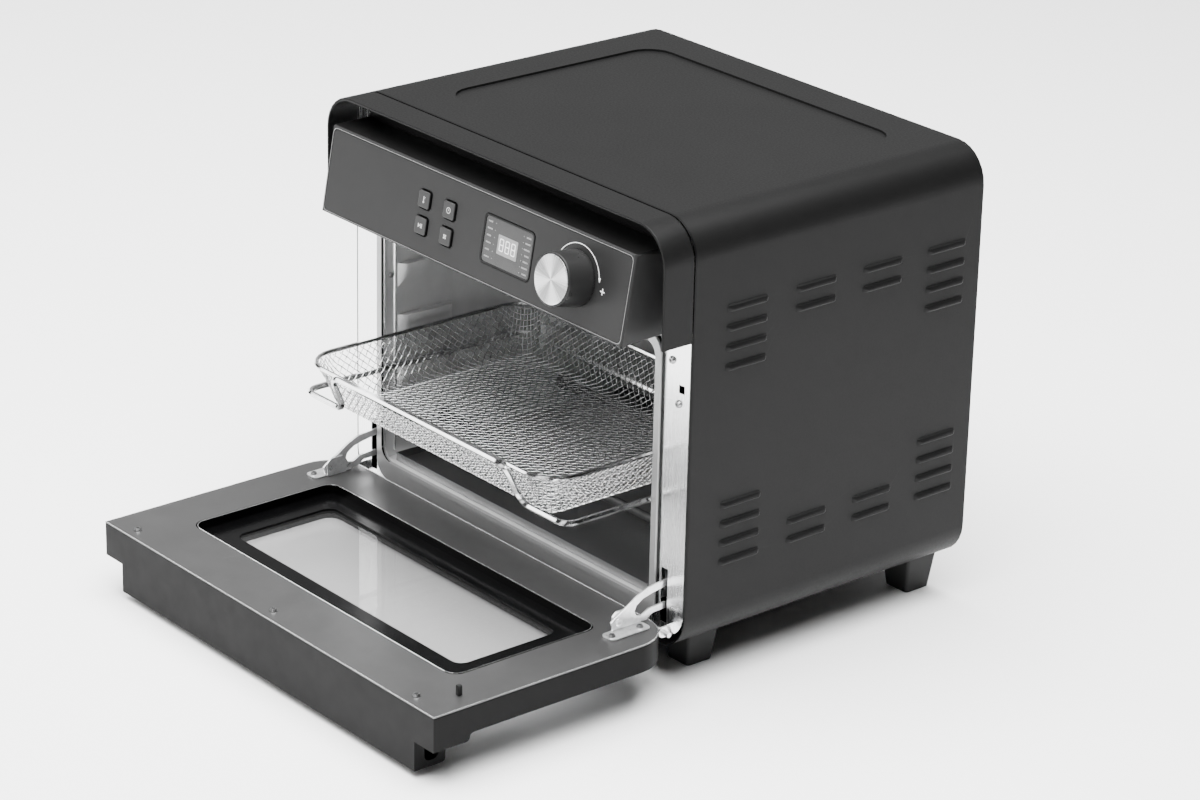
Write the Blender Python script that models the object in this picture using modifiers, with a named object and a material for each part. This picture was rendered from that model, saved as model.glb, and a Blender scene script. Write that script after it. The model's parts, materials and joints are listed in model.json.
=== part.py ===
"""Countertop toaster oven with a drop-down door, in metres, +Z up, front facing -Y."""

import math

import bmesh
import bpy
from mathutils import Matrix, Vector

for old in list(bpy.data.objects):
    bpy.data.objects.remove(old, do_unlink=True)

# The y coordinates below are measured back from the front edge of the cover.
# Everything is shifted by this much at the end, which centres the whole part.
CENTRE_Y = 0.02665

GAP = 0.0003  # space left between neighbouring pieces
SHEET = 0.0008  # thickness of the steel sheet

# body
HALF_W = 0.190
DEPTH = 0.269
TOP_Z = 0.3472
BOTTOM_Z = 0.0302
TOP_R = 0.0275
BOTTOM_R = 0.028
FLOOR_RETURN = 0.030  # how far the cover wraps in under the body
DISH_HALF_W, DISH_Y0, DISH_Y1 = 0.1345, 0.038, 0.2375  # recess pressed in the top
DISH_R = 0.022
DISH_DEPTH = 0.0016

# louvres pressed in each side: first and last y of a group, and its rows
LOUVRE_LENGTH = 0.0375
LOUVRE_PITCH = 0.0143
LOUVRE_GROUPS = ((0.0295, 4), (0.0925, 2), (0.155, 2), (0.2165, 4))
LOUVRE_TOP_Z = 0.2812  # highest row of the upper groups
LOUVRE_LOW_Z = 0.0936  # lowest row of the lower groups
LOUVRE_RISE, LOUVRE_HALF_H = 0.0024, 0.0028
LOUVRE_END = 0.0034  # length over which each end runs out into the side
VENT_ROWS, VENT_Z, VENT_PITCH = 6, 0.250, 0.010  # slots in the rear panel
VENT_X, VENT_HALF_W, VENT_H = 0.060, 0.045, 0.003
INLET_X, INLET_Z, INLET_R = -0.130, 0.075, 0.0075
INLET_BORE_R = 0.0042
FOOT_SIZE, FOOT_SPREAD = 0.0225, 0.0038  # width at the floor, and its growth on each side
FRONT_FOOT_X, FRONT_FOOT_Y = 0.1350, 0.0335
REAR_FOOT_X, REAR_FOOT_Y = 0.1400, 0.2420

# bezel and control panel
BEZEL_DEPTH = 0.0265
BEZEL_WALL = 0.0022
BEZEL_END_Z = 0.2627
PANEL_HALF_W = 0.1702
PANEL_LOW = Vector((0.0, -0.0462, 0.2640))  # lower front edge
PANEL_HIGH = Vector((0.0, -0.0350, 0.3278))  # upper front edge
PANEL_WALL = 0.0025
PANEL_BACK_Z = 0.3430  # top of the upstand that closes the gap behind the panel
BUTTON_X = (-0.0543, -0.0257)
BUTTON_UP = (0.0215, 0.0405)  # distance up the face from its lower edge
BUTTON_SIZE = 0.0122
BUTTON_PROUD = 0.0016
BUTTON_TRAVEL = 0.0010
DISPLAY_X, DISPLAY_UP = 0.0403, 0.0327
DISPLAY_W, DISPLAY_H = 0.0540, 0.0345
KNOB_X, KNOB_UP = 0.1152, 0.0327
KNOB_R, KNOB_LENGTH = 0.0188, 0.0215
KNOB_CAP_R = 0.0172
SHAFT_R, SHAFT_LENGTH = 0.003, 0.0120

# front frame, cavity
FRAME_HALF_W = 0.1884
FRAME_LOW_Z, FRAME_HIGH_Z = 0.0408, 0.3440
FRAME_R = 0.019
OPEN_HALF_W = 0.1555  # cavity mouth
CAVITY_HALF_W = 0.1560
CAVITY_DEPTH = 0.2315
CAVITY_FLOOR, CAVITY_CEILING = 0.0615, 0.2555
CAVITY_SCREW_Y, CAVITY_SCREW_Z = 0.0062, 0.2068
FRAME_SCREW_X, FRAME_SCREW_Z = 0.1700, 0.2450
TAB_SCREW_X, TAB_SCREW_Z = 0.1778, 0.2153
MOUTH_TOP = 0.2535
FLANGE_HALF_W, FLANGE_LOW, FLANGE_HIGH = 0.1610, 0.0468, 0.2602
FLANGE_PROUD = 0.0030
FLANGE_R, MOUTH_R = 0.0145, 0.0110
TRAY_HALF_W, TRAY_Y0, TRAY_Y1, TRAY_H = 0.1460, 0.0040, 0.2270, 0.0065
SLOT_X, SLOT_W = 0.1682, 0.0070
SLOT_LOW, SLOT_HIGH = 0.0486, 0.0897
RIB_Y, RIB_LENGTH = (0.012, 0.150), 0.052
RIB_TOPS = (0.1334, 0.1740, 0.2146)
RIB_HEIGHT, RIB_DEPTH = 0.0200, 0.0060

# door, shown open; it turns about this line
HINGE_Y, HINGE_Z = -0.0095, 0.0478
LUG_X, LUG_T, LUG_R = 0.1790, 0.0015, 0.0040
PIN_R, PIN_START, PIN_END = 0.0018, 0.1700, 0.1860
DOOR_TOP_Z = 0.0538
DOOR_HALF_W = 0.1966
DOOR_FRONT_Y, DOOR_BACK_Y = -0.2215, -0.0120
DOOR_LOW_Z, DOOR_FRONT_LOW_Z = 0.0333, 0.0276
DOOR_CORNER_R = 0.030
WINDOW_HALF_W, WINDOW_Y0, WINDOW_Y1 = 0.1565, -0.1745, -0.0478
CLEAR_HALF_W, CLEAR_Y0, CLEAR_Y1 = 0.1330, -0.1515, -0.0655
HANDLE_HALF_W, HANDLE_LOW_Z, HANDLE_BACK_Y = 0.1757, 0.0056, -0.1955
HANDLE_LIP_Z, HANDLE_LIP_T, HANDLE_WALL = 0.0168, 0.0056, 0.0085
HANDLE_FLOOR, CHANNEL_R = 0.0045, 0.0045
ARM_X, ARM_T = 0.1682, 0.0016
PEG_X, PEG_Y, PEG_SIZE, PEG_HEIGHT = 0.1804, -0.1881, 0.0034, 0.0078
GLASS_T = 0.0032
GLASS_HALF_W, GLASS_Y0, GLASS_Y1 = 0.1620, -0.1770, -0.0400
MASK_HALF_W, MASK_Y0, MASK_Y1, MASK_LOW = 0.1615, -0.1800, -0.0420, 0.0450
DOOR_SCREW_X, DOOR_SCREW_Y = (-0.1700, 0.0, 0.1640), -0.2110
BRACKET_SCREW_X, BRACKET_SCREW_Y = 0.1745, (-0.0515, -0.0265)

# basket, shown pulled out
BASKET_FRONT_Y, BASKET_BACK_Y = -0.0840, 0.1285
RIM_HALF_W, RIM_Z, RIM_R = 0.1425, 0.1655, 0.0016
MESH_LOW_Z, MESH_T = 0.1312, 0.0010
ROD_HALF_W, ROD_Z, ROD_R = 0.1513, 0.1359, 0.0022
ROD_FRONT_Y, HANDLE_RISE_X = -0.0750, 0.1005

# heating and air
ROD_HEATER_R, LOWER_HEATER_Z = 0.0034, 0.0830
LOWER_HEATER_Y = (0.0560, 0.1720)
FAN_Y, FAN_R, FAN_Z0, FAN_Z1 = 0.1160, 0.0560, 0.2400, 0.2500
UPPER_HEATER_R, UPPER_HEATER_Z = 0.0920, 0.2420
MOTOR_R, MOTOR_Z0, MOTOR_Z1 = 0.030, 0.2568, 0.2988
GUARD_R, GUARD_Z, GUARD_POST_R = 0.0740, 0.2345, 0.0680
BLADES = 8

SHARP_ANGLE = math.radians(35)  # edges sharper than this stay hard, the rest is shaded smooth

main = bpy.data.collections.new("toaster_oven")
cutters = bpy.data.collections.new("toaster_oven_cutters")
bpy.context.scene.collection.children.link(main)
bpy.context.scene.collection.children.link(cutters)

Y_AXIS = Vector((0.0, 1.0, 0.0))
Z_AXIS = Vector((0.0, 0.0, 1.0))
# local frame of the tilted control face: X right, Y up the face, Z out of it
FACE_UP = (PANEL_HIGH - PANEL_LOW).normalized()
FACE_OUT = Vector((1.0, 0.0, 0.0)).cross(FACE_UP).normalized()
FACE_LENGTH = (PANEL_HIGH - PANEL_LOW).length


def material(name, colour, metallic=0.0, roughness=0.5, transmission=0.0):
    mat = bpy.data.materials.new(name)
    mat.use_nodes = True
    shader = mat.node_tree.nodes["Principled BSDF"]
    shader.inputs["Base Color"].default_value = (*colour, 1.0)
    shader.inputs["Metallic"].default_value = metallic
    shader.inputs["Roughness"].default_value = roughness
    shader.inputs["Transmission Weight"].default_value = transmission
    mat.diffuse_color = (*colour, 1.0)
    return mat


PAINT = material("charcoal_paint", (0.045, 0.045, 0.047), 0.1, 0.45)
PLASTIC = material("black_plastic", (0.030, 0.030, 0.032), 0.0, 0.4)
RUBBER = material("dark_rubber", (0.020, 0.020, 0.020), 0.0, 0.8)
STEEL = material("stainless_steel", (0.75, 0.75, 0.76), 1.0, 0.25)
ZINC = material("zinc_plate", (0.62, 0.62, 0.63), 1.0, 0.35)
LINER = material("aluminised_liner", (0.30, 0.30, 0.31), 0.9, 0.35)
DARK_SHEET = material("dark_door_sheet", (0.14, 0.14, 0.145), 0.6, 0.38)
CHROME = material("chromed_wire", (0.80, 0.80, 0.81), 1.0, 0.12)
GLASS = material("tempered_glass", (0.80, 0.82, 0.82), 0.0, 0.03, 0.95)
DARK_GLASS = material("smoked_window", (0.030, 0.030, 0.035), 0.0, 0.08)
HEATER = material("heater_sheath", (0.10, 0.09, 0.085), 0.6, 0.5)
BOARD = material("circuit_board", (0.02, 0.12, 0.05), 0.0, 0.5)


def add(name, mesh, mat, parent=None, group=main):
    ob = bpy.data.objects.new(name, mesh)
    group.objects.link(ob)
    mesh.shade_smooth()
    mesh.set_sharp_from_angle(angle=SHARP_ANGLE)
    if mat:
        mesh.materials.clear()
        mesh.materials.append(mat)
    if parent:
        place_under(ob, parent)
    return ob


def place_under(ob, parent):
    """Parent without moving: both have identity rotation and scale, or the parent's is undone."""
    ob.parent = parent
    bpy.context.view_layer.update()
    ob.matrix_parent_inverse = parent.matrix_world.inverted()


def to_mesh(name, bm):
    bmesh.ops.recalc_face_normals(bm, faces=bm.faces)
    mesh = bpy.data.meshes.new(name)
    bm.to_mesh(mesh)
    bm.free()
    return mesh


def box_into(bm, low, high):
    size = Vector(high) - Vector(low)
    middle = (Vector(high) + Vector(low)) / 2
    matrix = Matrix.Translation(middle) @ Matrix.Diagonal((*size, 1.0))
    bmesh.ops.create_cube(bm, size=1.0, matrix=matrix)


def cylinder_into(bm, centre, axis, radius, length, sides=32, end_radius=None):
    turn = Z_AXIS.rotation_difference(Vector(axis)).to_matrix().to_4x4()
    bmesh.ops.create_cone(
        bm, cap_ends=True, segments=sides, radius1=radius,
        radius2=radius if end_radius is None else end_radius,
        depth=length, matrix=Matrix.Translation(centre) @ turn,
    )


def prism_into(bm, outline, along, start, end):
    """Extrude a closed outline. along is the axis index: 0 takes (y, z), 1 (x, z), 2 (x, y)."""
    def point(a, b, c):
        return ((c, a, b), (a, c, b), (a, b, c))[along]

    verts = [bm.verts.new(point(a, b, start)) for a, b in outline]
    face = bm.faces.new(verts)
    out = bmesh.ops.extrude_face_region(bm, geom=[face])
    step = Vector(point(0.0, 0.0, end - start))
    moved = [v for v in out["geom"] if isinstance(v, bmesh.types.BMVert)]
    bmesh.ops.translate(bm, vec=step, verts=moved)


def box(name, low, high, mat, parent=None, group=main):
    bm = bmesh.new()
    box_into(bm, low, high)
    return add(name, to_mesh(name, bm), mat, parent, group)


def cylinder(name, centre, axis, radius, length, mat, parent=None, sides=32, group=main, end_radius=None):
    bm = bmesh.new()
    cylinder_into(bm, centre, axis, radius, length, sides, end_radius)
    return add(name, to_mesh(name, bm), mat, parent, group)


def prism(name, outline, along, start, end, mat, parent=None, group=main):
    bm = bmesh.new()
    prism_into(bm, outline, along, start, end)
    return add(name, to_mesh(name, bm), mat, parent, group)


def arc(cx, cy, radius, first, last, steps=6):
    """Points on an arc, angles in degrees."""
    turn = [math.radians(first + (last - first) * k / steps) for k in range(steps + 1)]
    return [(cx + radius * math.cos(t), cy + radius * math.sin(t)) for t in turn]


def rounded(x0, x1, y0, y1, radii, steps=6):
    """Rounded rectangle, counter-clockwise; radii for the corners x1y1, x0y1, x0y0, x1y0."""
    if not isinstance(radii, tuple):
        radii = (radii,) * 4
    corners = ((x1, y1, -1, -1), (x0, y1, 1, -1), (x0, y0, 1, 1), (x1, y0, -1, 1))
    points = []
    for k, ((cx, cy, sx, sy), r) in enumerate(zip(corners, radii)):
        if r:
            points += arc(cx + sx * r, cy + sy * r, r, 90 * k, 90 * k + 90, steps)
        else:
            points.append((cx, cy))
    return points


def cut(ob, tool, operation="DIFFERENCE"):
    mod = ob.modifiers.new(tool.name, "BOOLEAN")
    mod.operation = operation
    mod.solver = "EXACT"
    mod.object = tool
    return mod


def tool_from(name, bm):
    tool = add(name, to_mesh(name, bm), None, group=cutters)
    tool.hide_render = True
    tool.display_type = "WIRE"
    return tool


def soften(ob, width, segments=2, angle=35):
    mod = ob.modifiers.new("soft_edges", "BEVEL")
    mod.width = width
    mod.segments = segments
    mod.limit_method = "ANGLE"
    mod.angle_limit = math.radians(angle)
    return mod


def round_path(points, radius, closed, steps=5):
    """Replace the corners of a polyline by arcs."""
    pts = [Vector(p) for p in points]
    count = len(pts)
    out = []
    for k, p in enumerate(pts):
        if not closed and k in (0, count - 1):
            out.append(p)
            continue
        a = (pts[k - 1] - p).normalized()
        b = (pts[(k + 1) % count] - p).normalized()
        half = a.angle(b) / 2
        nearest = min((pts[k - 1] - p).length, (pts[(k + 1) % count] - p).length)
        reach = min(radius / math.tan(half), nearest * 0.48)
        r = reach * math.tan(half)
        centre = p + (a + b).normalized() * (r / math.sin(half))
        start, end = (p + a * reach - centre).normalized(), (p + b * reach - centre).normalized()
        for s in range(steps + 1):
            out.append(centre + start.slerp(end, s / steps) * r)
    return out


def wire(name, points, radius, closed, mat, parent=None, sides=8, group=main):
    """A round bar along a path, from a bevelled curve."""
    data = bpy.data.curves.new(name, "CURVE")
    data.dimensions = "3D"
    data.bevel_depth = radius
    data.bevel_resolution = sides // 4 - 1
    data.use_fill_caps = not closed
    spline = data.splines.new("POLY")
    spline.points.add(len(points) - 1)
    for slot, p in zip(spline.points, points):
        slot.co = (*p, 1.0)
    spline.use_cyclic_u = closed
    carrier = bpy.data.objects.new(name + "_path", data)
    mesh = bpy.data.meshes.new_from_object(carrier)
    bpy.data.objects.remove(carrier)
    bpy.data.curves.remove(data)
    bm = bmesh.new()
    bm.from_mesh(mesh)
    bmesh.ops.remove_doubles(bm, verts=bm.verts, dist=0.00001)
    bpy.data.meshes.remove(mesh)
    return add(name, to_mesh(name, bm), mat, parent, group)


def body_outline(half, low, high, low_r, high_r, steps=7):
    return rounded(-half, half, low, high, (high_r, high_r, low_r, low_r), steps)


# ---------------------------------------------------------------- body


def louvre_places():
    """Side, front end and height of every louvre."""
    for side in (-1, 1):
        for start, rows in LOUVRE_GROUPS:
            for row in range(rows):
                yield side, start, LOUVRE_TOP_Z - row * LOUVRE_PITCH
                yield side, start, LOUVRE_LOW_Z + row * LOUVRE_PITCH


def hood_into(bm, side, start, z):
    """A rounded hood: the same half-oval section at four stations, nearly flat at the end ones."""
    section = ((0.0, -1.0), (0.72, -0.88), (1.0, -0.42), (0.98, 0.12), (0.68, 0.66), (0.0, 1.0))
    flat = 0.12
    stations = ((start, flat), (start + LOUVRE_END, 1.0), (start + LOUVRE_LENGTH - LOUVRE_END, 1.0),
                (start + LOUVRE_LENGTH, flat))
    base, out = HALF_W - SHEET / 2, LOUVRE_RISE + SHEET / 2
    rings = [[bm.verts.new((side * (base + out * rise * share), y, z + LOUVRE_HALF_H * h))
              for rise, h in section] for y, share in stations]
    for a, b in zip(rings, rings[1:]):
        for k in range(len(section)):
            j = (k + 1) % len(section)
            bm.faces.new((a[k], a[j], b[j], b[k]))
    bm.faces.new(rings[0])
    bm.faces.new(rings[-1])


def make_cover():
    ob = prism("outer_cover", body_outline(HALF_W, BOTTOM_Z, TOP_Z, BOTTOM_R, TOP_R), 1,
               GAP, DEPTH, PAINT)
    inner = bmesh.new()
    prism_into(inner, body_outline(HALF_W - SHEET, BOTTOM_Z + SHEET, TOP_Z - SHEET,
                                   BOTTOM_R - SHEET, TOP_R - SHEET), 1, -0.01, DEPTH + 0.01)
    cut(ob, tool_from("cover_inside", inner))
    below = bmesh.new()
    box_into(below, (-HALF_W + FLOOR_RETURN, -0.01, 0.0), (HALF_W - FLOOR_RETURN, DEPTH + 0.01, 0.05))
    cut(ob, tool_from("cover_underside", below))
    pan = bmesh.new()
    prism_into(pan, rounded(-DISH_HALF_W - SHEET, DISH_HALF_W + SHEET, DISH_Y0 - SHEET, DISH_Y1 + SHEET,
                            DISH_R), 2, TOP_Z - DISH_DEPTH - SHEET, TOP_Z)
    cut(ob, tool_from("cover_dish_pan", pan), "UNION")
    dish = bmesh.new()
    prism_into(dish, rounded(-DISH_HALF_W, DISH_HALF_W, DISH_Y0, DISH_Y1, DISH_R - SHEET), 2,
               TOP_Z - DISH_DEPTH, TOP_Z + 0.01)
    cut(ob, tool_from("cover_dish", dish))
    hoods, slots = bmesh.new(), bmesh.new()
    for side, start, z in louvre_places():
        hood_into(hoods, side, start, z)
        inside, outside = side * (HALF_W - 0.004), side * (HALF_W + LOUVRE_RISE * 0.4)
        box_into(slots, (min(inside, outside), start + 2 * LOUVRE_END, z - LOUVRE_HALF_H - 0.0004),
                 (max(inside, outside), start + LOUVRE_LENGTH - 2 * LOUVRE_END, z - LOUVRE_HALF_H + 0.0012))
    cut(ob, tool_from("cover_hoods", hoods), "UNION")
    cut(ob, tool_from("cover_slots", slots))
    return ob


def make_base():
    edge = HALF_W - FLOOR_RETURN - GAP
    ob = box("base_plate", (-edge, 0.0015, BOTTOM_Z), (edge, DEPTH - 0.0018, BOTTOM_Z + 0.0010), ZINC)
    vents = bmesh.new()
    for k in range(7):
        x = -0.090 + 0.030 * k
        box_into(vents, (x - 0.0025, 0.090, 0.0), (x + 0.0025, 0.180, 0.05))
    cut(ob, tool_from("base_vents", vents))
    return ob


def make_rear_panel():
    inset = SHEET + GAP
    outline = body_outline(HALF_W - inset, BOTTOM_Z + inset + 0.0005, TOP_Z - inset - DISH_DEPTH,
                           BOTTOM_R - inset, TOP_R - inset)
    ob = prism("rear_panel", outline, 1, DEPTH - 0.0015, DEPTH - 0.0005, PAINT)
    vents = bmesh.new()
    for row in range(VENT_ROWS):
        z = VENT_Z + VENT_PITCH * row
        for x in (-VENT_X, VENT_X):
            box_into(vents, (x - VENT_HALF_W, 0.2, z), (x + VENT_HALF_W, 0.3, z + VENT_H))
    cylinder_into(vents, (INLET_X, DEPTH, INLET_Z), Y_AXIS, INLET_R + GAP, 0.1, 24)
    cut(ob, tool_from("rear_vents", vents))
    return ob


def make_inlet():
    """Cord entry: a flanged bush through the rear panel with its bore left open."""
    ob = cylinder("cord_inlet", (INLET_X, DEPTH - 0.003, INLET_Z), Y_AXIS, INLET_R, 0.016, PLASTIC, sides=24)
    rim = bmesh.new()
    cylinder_into(rim, (INLET_X, DEPTH + 0.0028, INLET_Z), Y_AXIS, INLET_R + 0.003, 0.0060, 24)
    cut(ob, tool_from("inlet_flange", rim), "UNION")
    bore = bmesh.new()
    cylinder_into(bore, (INLET_X, DEPTH, INLET_Z), Y_AXIS, INLET_BORE_R, 0.1, 24)
    cut(ob, tool_from("inlet_bore", bore))
    return ob


def make_feet():
    """Four tapered feet under the base; the rear pair stands slightly wider."""
    for row, x0, y0 in (("front", FRONT_FOOT_X, FRONT_FOOT_Y), ("rear", REAR_FOOT_X, REAR_FOOT_Y)):
        for side, tag in ((1, "right"), (-1, "left")):
            cx, cy = side * (x0 + FOOT_SIZE / 2), y0 + FOOT_SIZE / 2
            half = FOOT_SIZE / 2
            low = rounded(cx - half, cx + half, cy - half, cy + half, 0.0022, 3)
            grow = 1 + FOOT_SPREAD / half
            high = [(cx + (x - cx) * grow, cy + (y - cy) * grow) for x, y in low]
            bm = bmesh.new()
            a = [bm.verts.new((x, y, 0.0)) for x, y in low]
            b = [bm.verts.new((x, y, BOTTOM_Z - GAP)) for x, y in high]
            bm.faces.new(a)
            bm.faces.new(b)
            for k in range(len(a)):
                j = (k + 1) % len(a)
                bm.faces.new((a[k], a[j], b[j], b[k]))
            name = "foot_%s_%s" % (row, tag)
            add(name, to_mesh(name, bm), RUBBER)


# ---------------------------------------------------------------- front


def make_bezel():
    ob = prism("front_bezel", body_outline(HALF_W, 0.1, TOP_Z, 0.0, TOP_R), 1, -BEZEL_DEPTH, -GAP, PAINT)
    inner = bmesh.new()
    prism_into(inner, body_outline(HALF_W - BEZEL_WALL, 0.05, TOP_Z - BEZEL_WALL, 0.0,
                                   TOP_R - BEZEL_WALL), 1, -0.1, 0.1)
    cut(ob, tool_from("bezel_inside", inner))
    below = bmesh.new()
    box_into(below, (-0.3, -0.1, 0.0), (0.3, 0.1, BEZEL_END_Z))
    cut(ob, tool_from("bezel_below", below))
    soften(ob, 0.0008)
    return ob


def on_face(x, up, out):
    """Point on the tilted face: x, distance up from its lower edge, height above it."""
    return Vector((x, 0.0, 0.0)) + PANEL_LOW + FACE_UP * up + FACE_OUT * out


def face_matrix(x, up, out=0.0):
    matrix = Matrix((Vector((1, 0, 0)), FACE_UP, FACE_OUT)).transposed().to_4x4()
    return Matrix.Translation(on_face(x, up, out)) @ matrix


def face_prism_into(bm, x, up, width, height, radius, low, high):
    """A rounded block standing on the tilted face, from low to high above it."""
    before = set(bm.verts)
    prism_into(bm, rounded(-width / 2, width / 2, -height / 2, height / 2, radius, 4), 2, low, high)
    new = [v for v in bm.verts if v not in before]
    bmesh.ops.transform(bm, matrix=face_matrix(x, up), verts=new)


def make_panel():
    back = -GAP
    low, high = (PANEL_LOW.y, PANEL_LOW.z), (PANEL_HIGH.y, PANEL_HIGH.z)
    outline = [low, (back, low[1] + 0.0016), (back, PANEL_BACK_Z), (back - PANEL_WALL, PANEL_BACK_Z),
               (back - PANEL_WALL, high[1]), high]
    ob = prism("control_panel", outline, 0, -PANEL_HALF_W, PANEL_HALF_W, PLASTIC)
    hollow = bmesh.new()
    t = PANEL_WALL
    prism_into(hollow, [(low[0] + t, low[1] + t), (0.01, low[1] + t + 0.0016), (0.01, high[1] - t),
                        (high[0] + t, high[1] - t)], 0, -PANEL_HALF_W + t, PANEL_HALF_W - t)
    cut(ob, tool_from("panel_hollow", hollow))
    holes = bmesh.new()
    for x in BUTTON_X:
        for up in BUTTON_UP:
            side = BUTTON_SIZE + 2 * GAP
            face_prism_into(holes, x, up, side, side, 0.0019, -0.01, 0.01)
    face_prism_into(holes, DISPLAY_X, DISPLAY_UP, DISPLAY_W, DISPLAY_H, 0.0035, -0.01, 0.01)
    cylinder_into(holes, on_face(KNOB_X, KNOB_UP, 0.0), FACE_OUT, SHAFT_R + GAP, 0.02, 24)
    cut(ob, tool_from("panel_holes", holes))
    soften(ob, 0.0010, 1)
    return ob


def make_controls():
    """Keys, window, display, circuit board, encoder and knob on the tilted face."""
    names = (("button_mode_lower", "button_mode_upper"), ("button_time_lower", "button_time_upper"))
    for x, column in zip(BUTTON_X, names):
        for up, name in zip(BUTTON_UP, column):
            bm = bmesh.new()
            prism_into(bm, rounded(-BUTTON_SIZE / 2, BUTTON_SIZE / 2, -BUTTON_SIZE / 2, BUTTON_SIZE / 2,
                                   0.0016, 4), 2, -0.0040, BUTTON_PROUD)
            ob = add(name, to_mesh(name, bm), PLASTIC)
            ob.matrix_world = face_matrix(x, up)
            soften(ob, 0.0005)
    bm = bmesh.new()
    face_prism_into(bm, DISPLAY_X, DISPLAY_UP, DISPLAY_W - 2 * GAP, DISPLAY_H - 2 * GAP, 0.0032,
                    -0.0022, -0.0002)
    add("display_window", to_mesh("display_window", bm), DARK_GLASS)
    bm = bmesh.new()
    face_prism_into(bm, DISPLAY_X, DISPLAY_UP, 0.040, 0.026, 0.001, -0.0066, -0.0025)
    add("display_module", to_mesh("display_module", bm), DARK_GLASS)
    bm = bmesh.new()
    face_prism_into(bm, 0.040, FACE_LENGTH / 2, 0.230, 0.050, 0.002, -0.0086, -0.0070)
    board = add("control_board", to_mesh("control_board", bm), BOARD)
    pass_hole = bmesh.new()
    cylinder_into(pass_hole, on_face(KNOB_X, KNOB_UP, 0.0), FACE_OUT, 0.0055, 0.05, 24)
    cut(board, tool_from("board_hole", pass_hole))
    encoder = bmesh.new()
    face_prism_into(encoder, KNOB_X, KNOB_UP, 0.013, 0.013, 0.001, -0.0160, -0.0089)
    body = add("rotary_encoder", to_mesh("rotary_encoder", encoder), ZINC)
    shaft = bmesh.new()
    cylinder_into(shaft, on_face(KNOB_X, KNOB_UP, 0.0), FACE_OUT, SHAFT_R, 2 * SHAFT_LENGTH, 24)
    cut(body, tool_from("encoder_shaft", shaft), "UNION")

    profile = bmesh.new()
    cylinder_into(profile, (0, 0, KNOB_LENGTH / 2 + GAP), Z_AXIS, KNOB_R + 0.0012, KNOB_LENGTH, 48, KNOB_R)
    knob = add("control_knob", to_mesh("control_knob", profile), PLASTIC)
    knob.matrix_world = face_matrix(KNOB_X, KNOB_UP)
    soften(knob, 0.0009, 3)
    seat = bmesh.new()
    cylinder_into(seat, (0, 0, KNOB_LENGTH), Z_AXIS, KNOB_CAP_R + GAP, 0.0028, 48)
    cylinder_into(seat, (0, 0, 0.0), Z_AXIS, SHAFT_R + GAP, 0.0250, 24)
    seat_tool = tool_from("knob_recesses", seat)
    seat_tool.matrix_world = face_matrix(KNOB_X, KNOB_UP)
    cut(knob, seat_tool)
    cap = bmesh.new()
    cylinder_into(cap, (0, 0, KNOB_LENGTH - 0.0001), Z_AXIS, KNOB_CAP_R, 0.0020, 48)
    cap_ob = add("knob_cap", to_mesh("knob_cap", cap), STEEL)
    cap_ob.matrix_world = face_matrix(KNOB_X, KNOB_UP)
    soften(cap_ob, 0.0004)
    place_under(cap_ob, knob)


def make_frame():
    ob = prism("front_frame", body_outline(FRAME_HALF_W, FRAME_LOW_Z, FRAME_HIGH_Z, FRAME_R, 0.0245), 1,
               0.0, SHEET, STEEL)
    openings = bmesh.new()
    prism_into(openings, rounded(-FLANGE_HALF_W - GAP, FLANGE_HALF_W + GAP, FLANGE_LOW - GAP,
                                 FLANGE_HIGH + GAP, FLANGE_R + GAP, 7), 1, -0.1, 0.1)
    for side in (-1, 1):
        x = side * SLOT_X
        box_into(openings, (x - SLOT_W / 2, -0.1, SLOT_LOW), (x + SLOT_W / 2, 0.1, SLOT_HIGH))
    hole = 0.0030
    peg_z = HINGE_Z + HINGE_Y - PEG_Y
    box_into(openings, (PEG_X - hole, -0.1, peg_z - hole), (PEG_X + hole, 0.1, peg_z + hole))
    cut(ob, tool_from("frame_openings", openings))
    lugs = bmesh.new()
    for side in (-1, 1):
        eye = arc(HINGE_Y, HINGE_Z, LUG_R, 90, 270, 8)
        outline = [(SHEET / 2, HINGE_Z + LUG_R)] + eye + [(SHEET / 2, HINGE_Z - LUG_R)]
        prism_into(lugs, outline, 0, side * LUG_X - LUG_T / 2, side * LUG_X + LUG_T / 2)
    cut(ob, tool_from("frame_lugs", lugs), "UNION")
    eyes = bmesh.new()
    cylinder_into(eyes, (0.0, HINGE_Y, HINGE_Z), (1, 0, 0), PIN_R + GAP, 0.5, 20)
    cut(ob, tool_from("frame_lug_eyes", eyes))
    return ob


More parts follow.
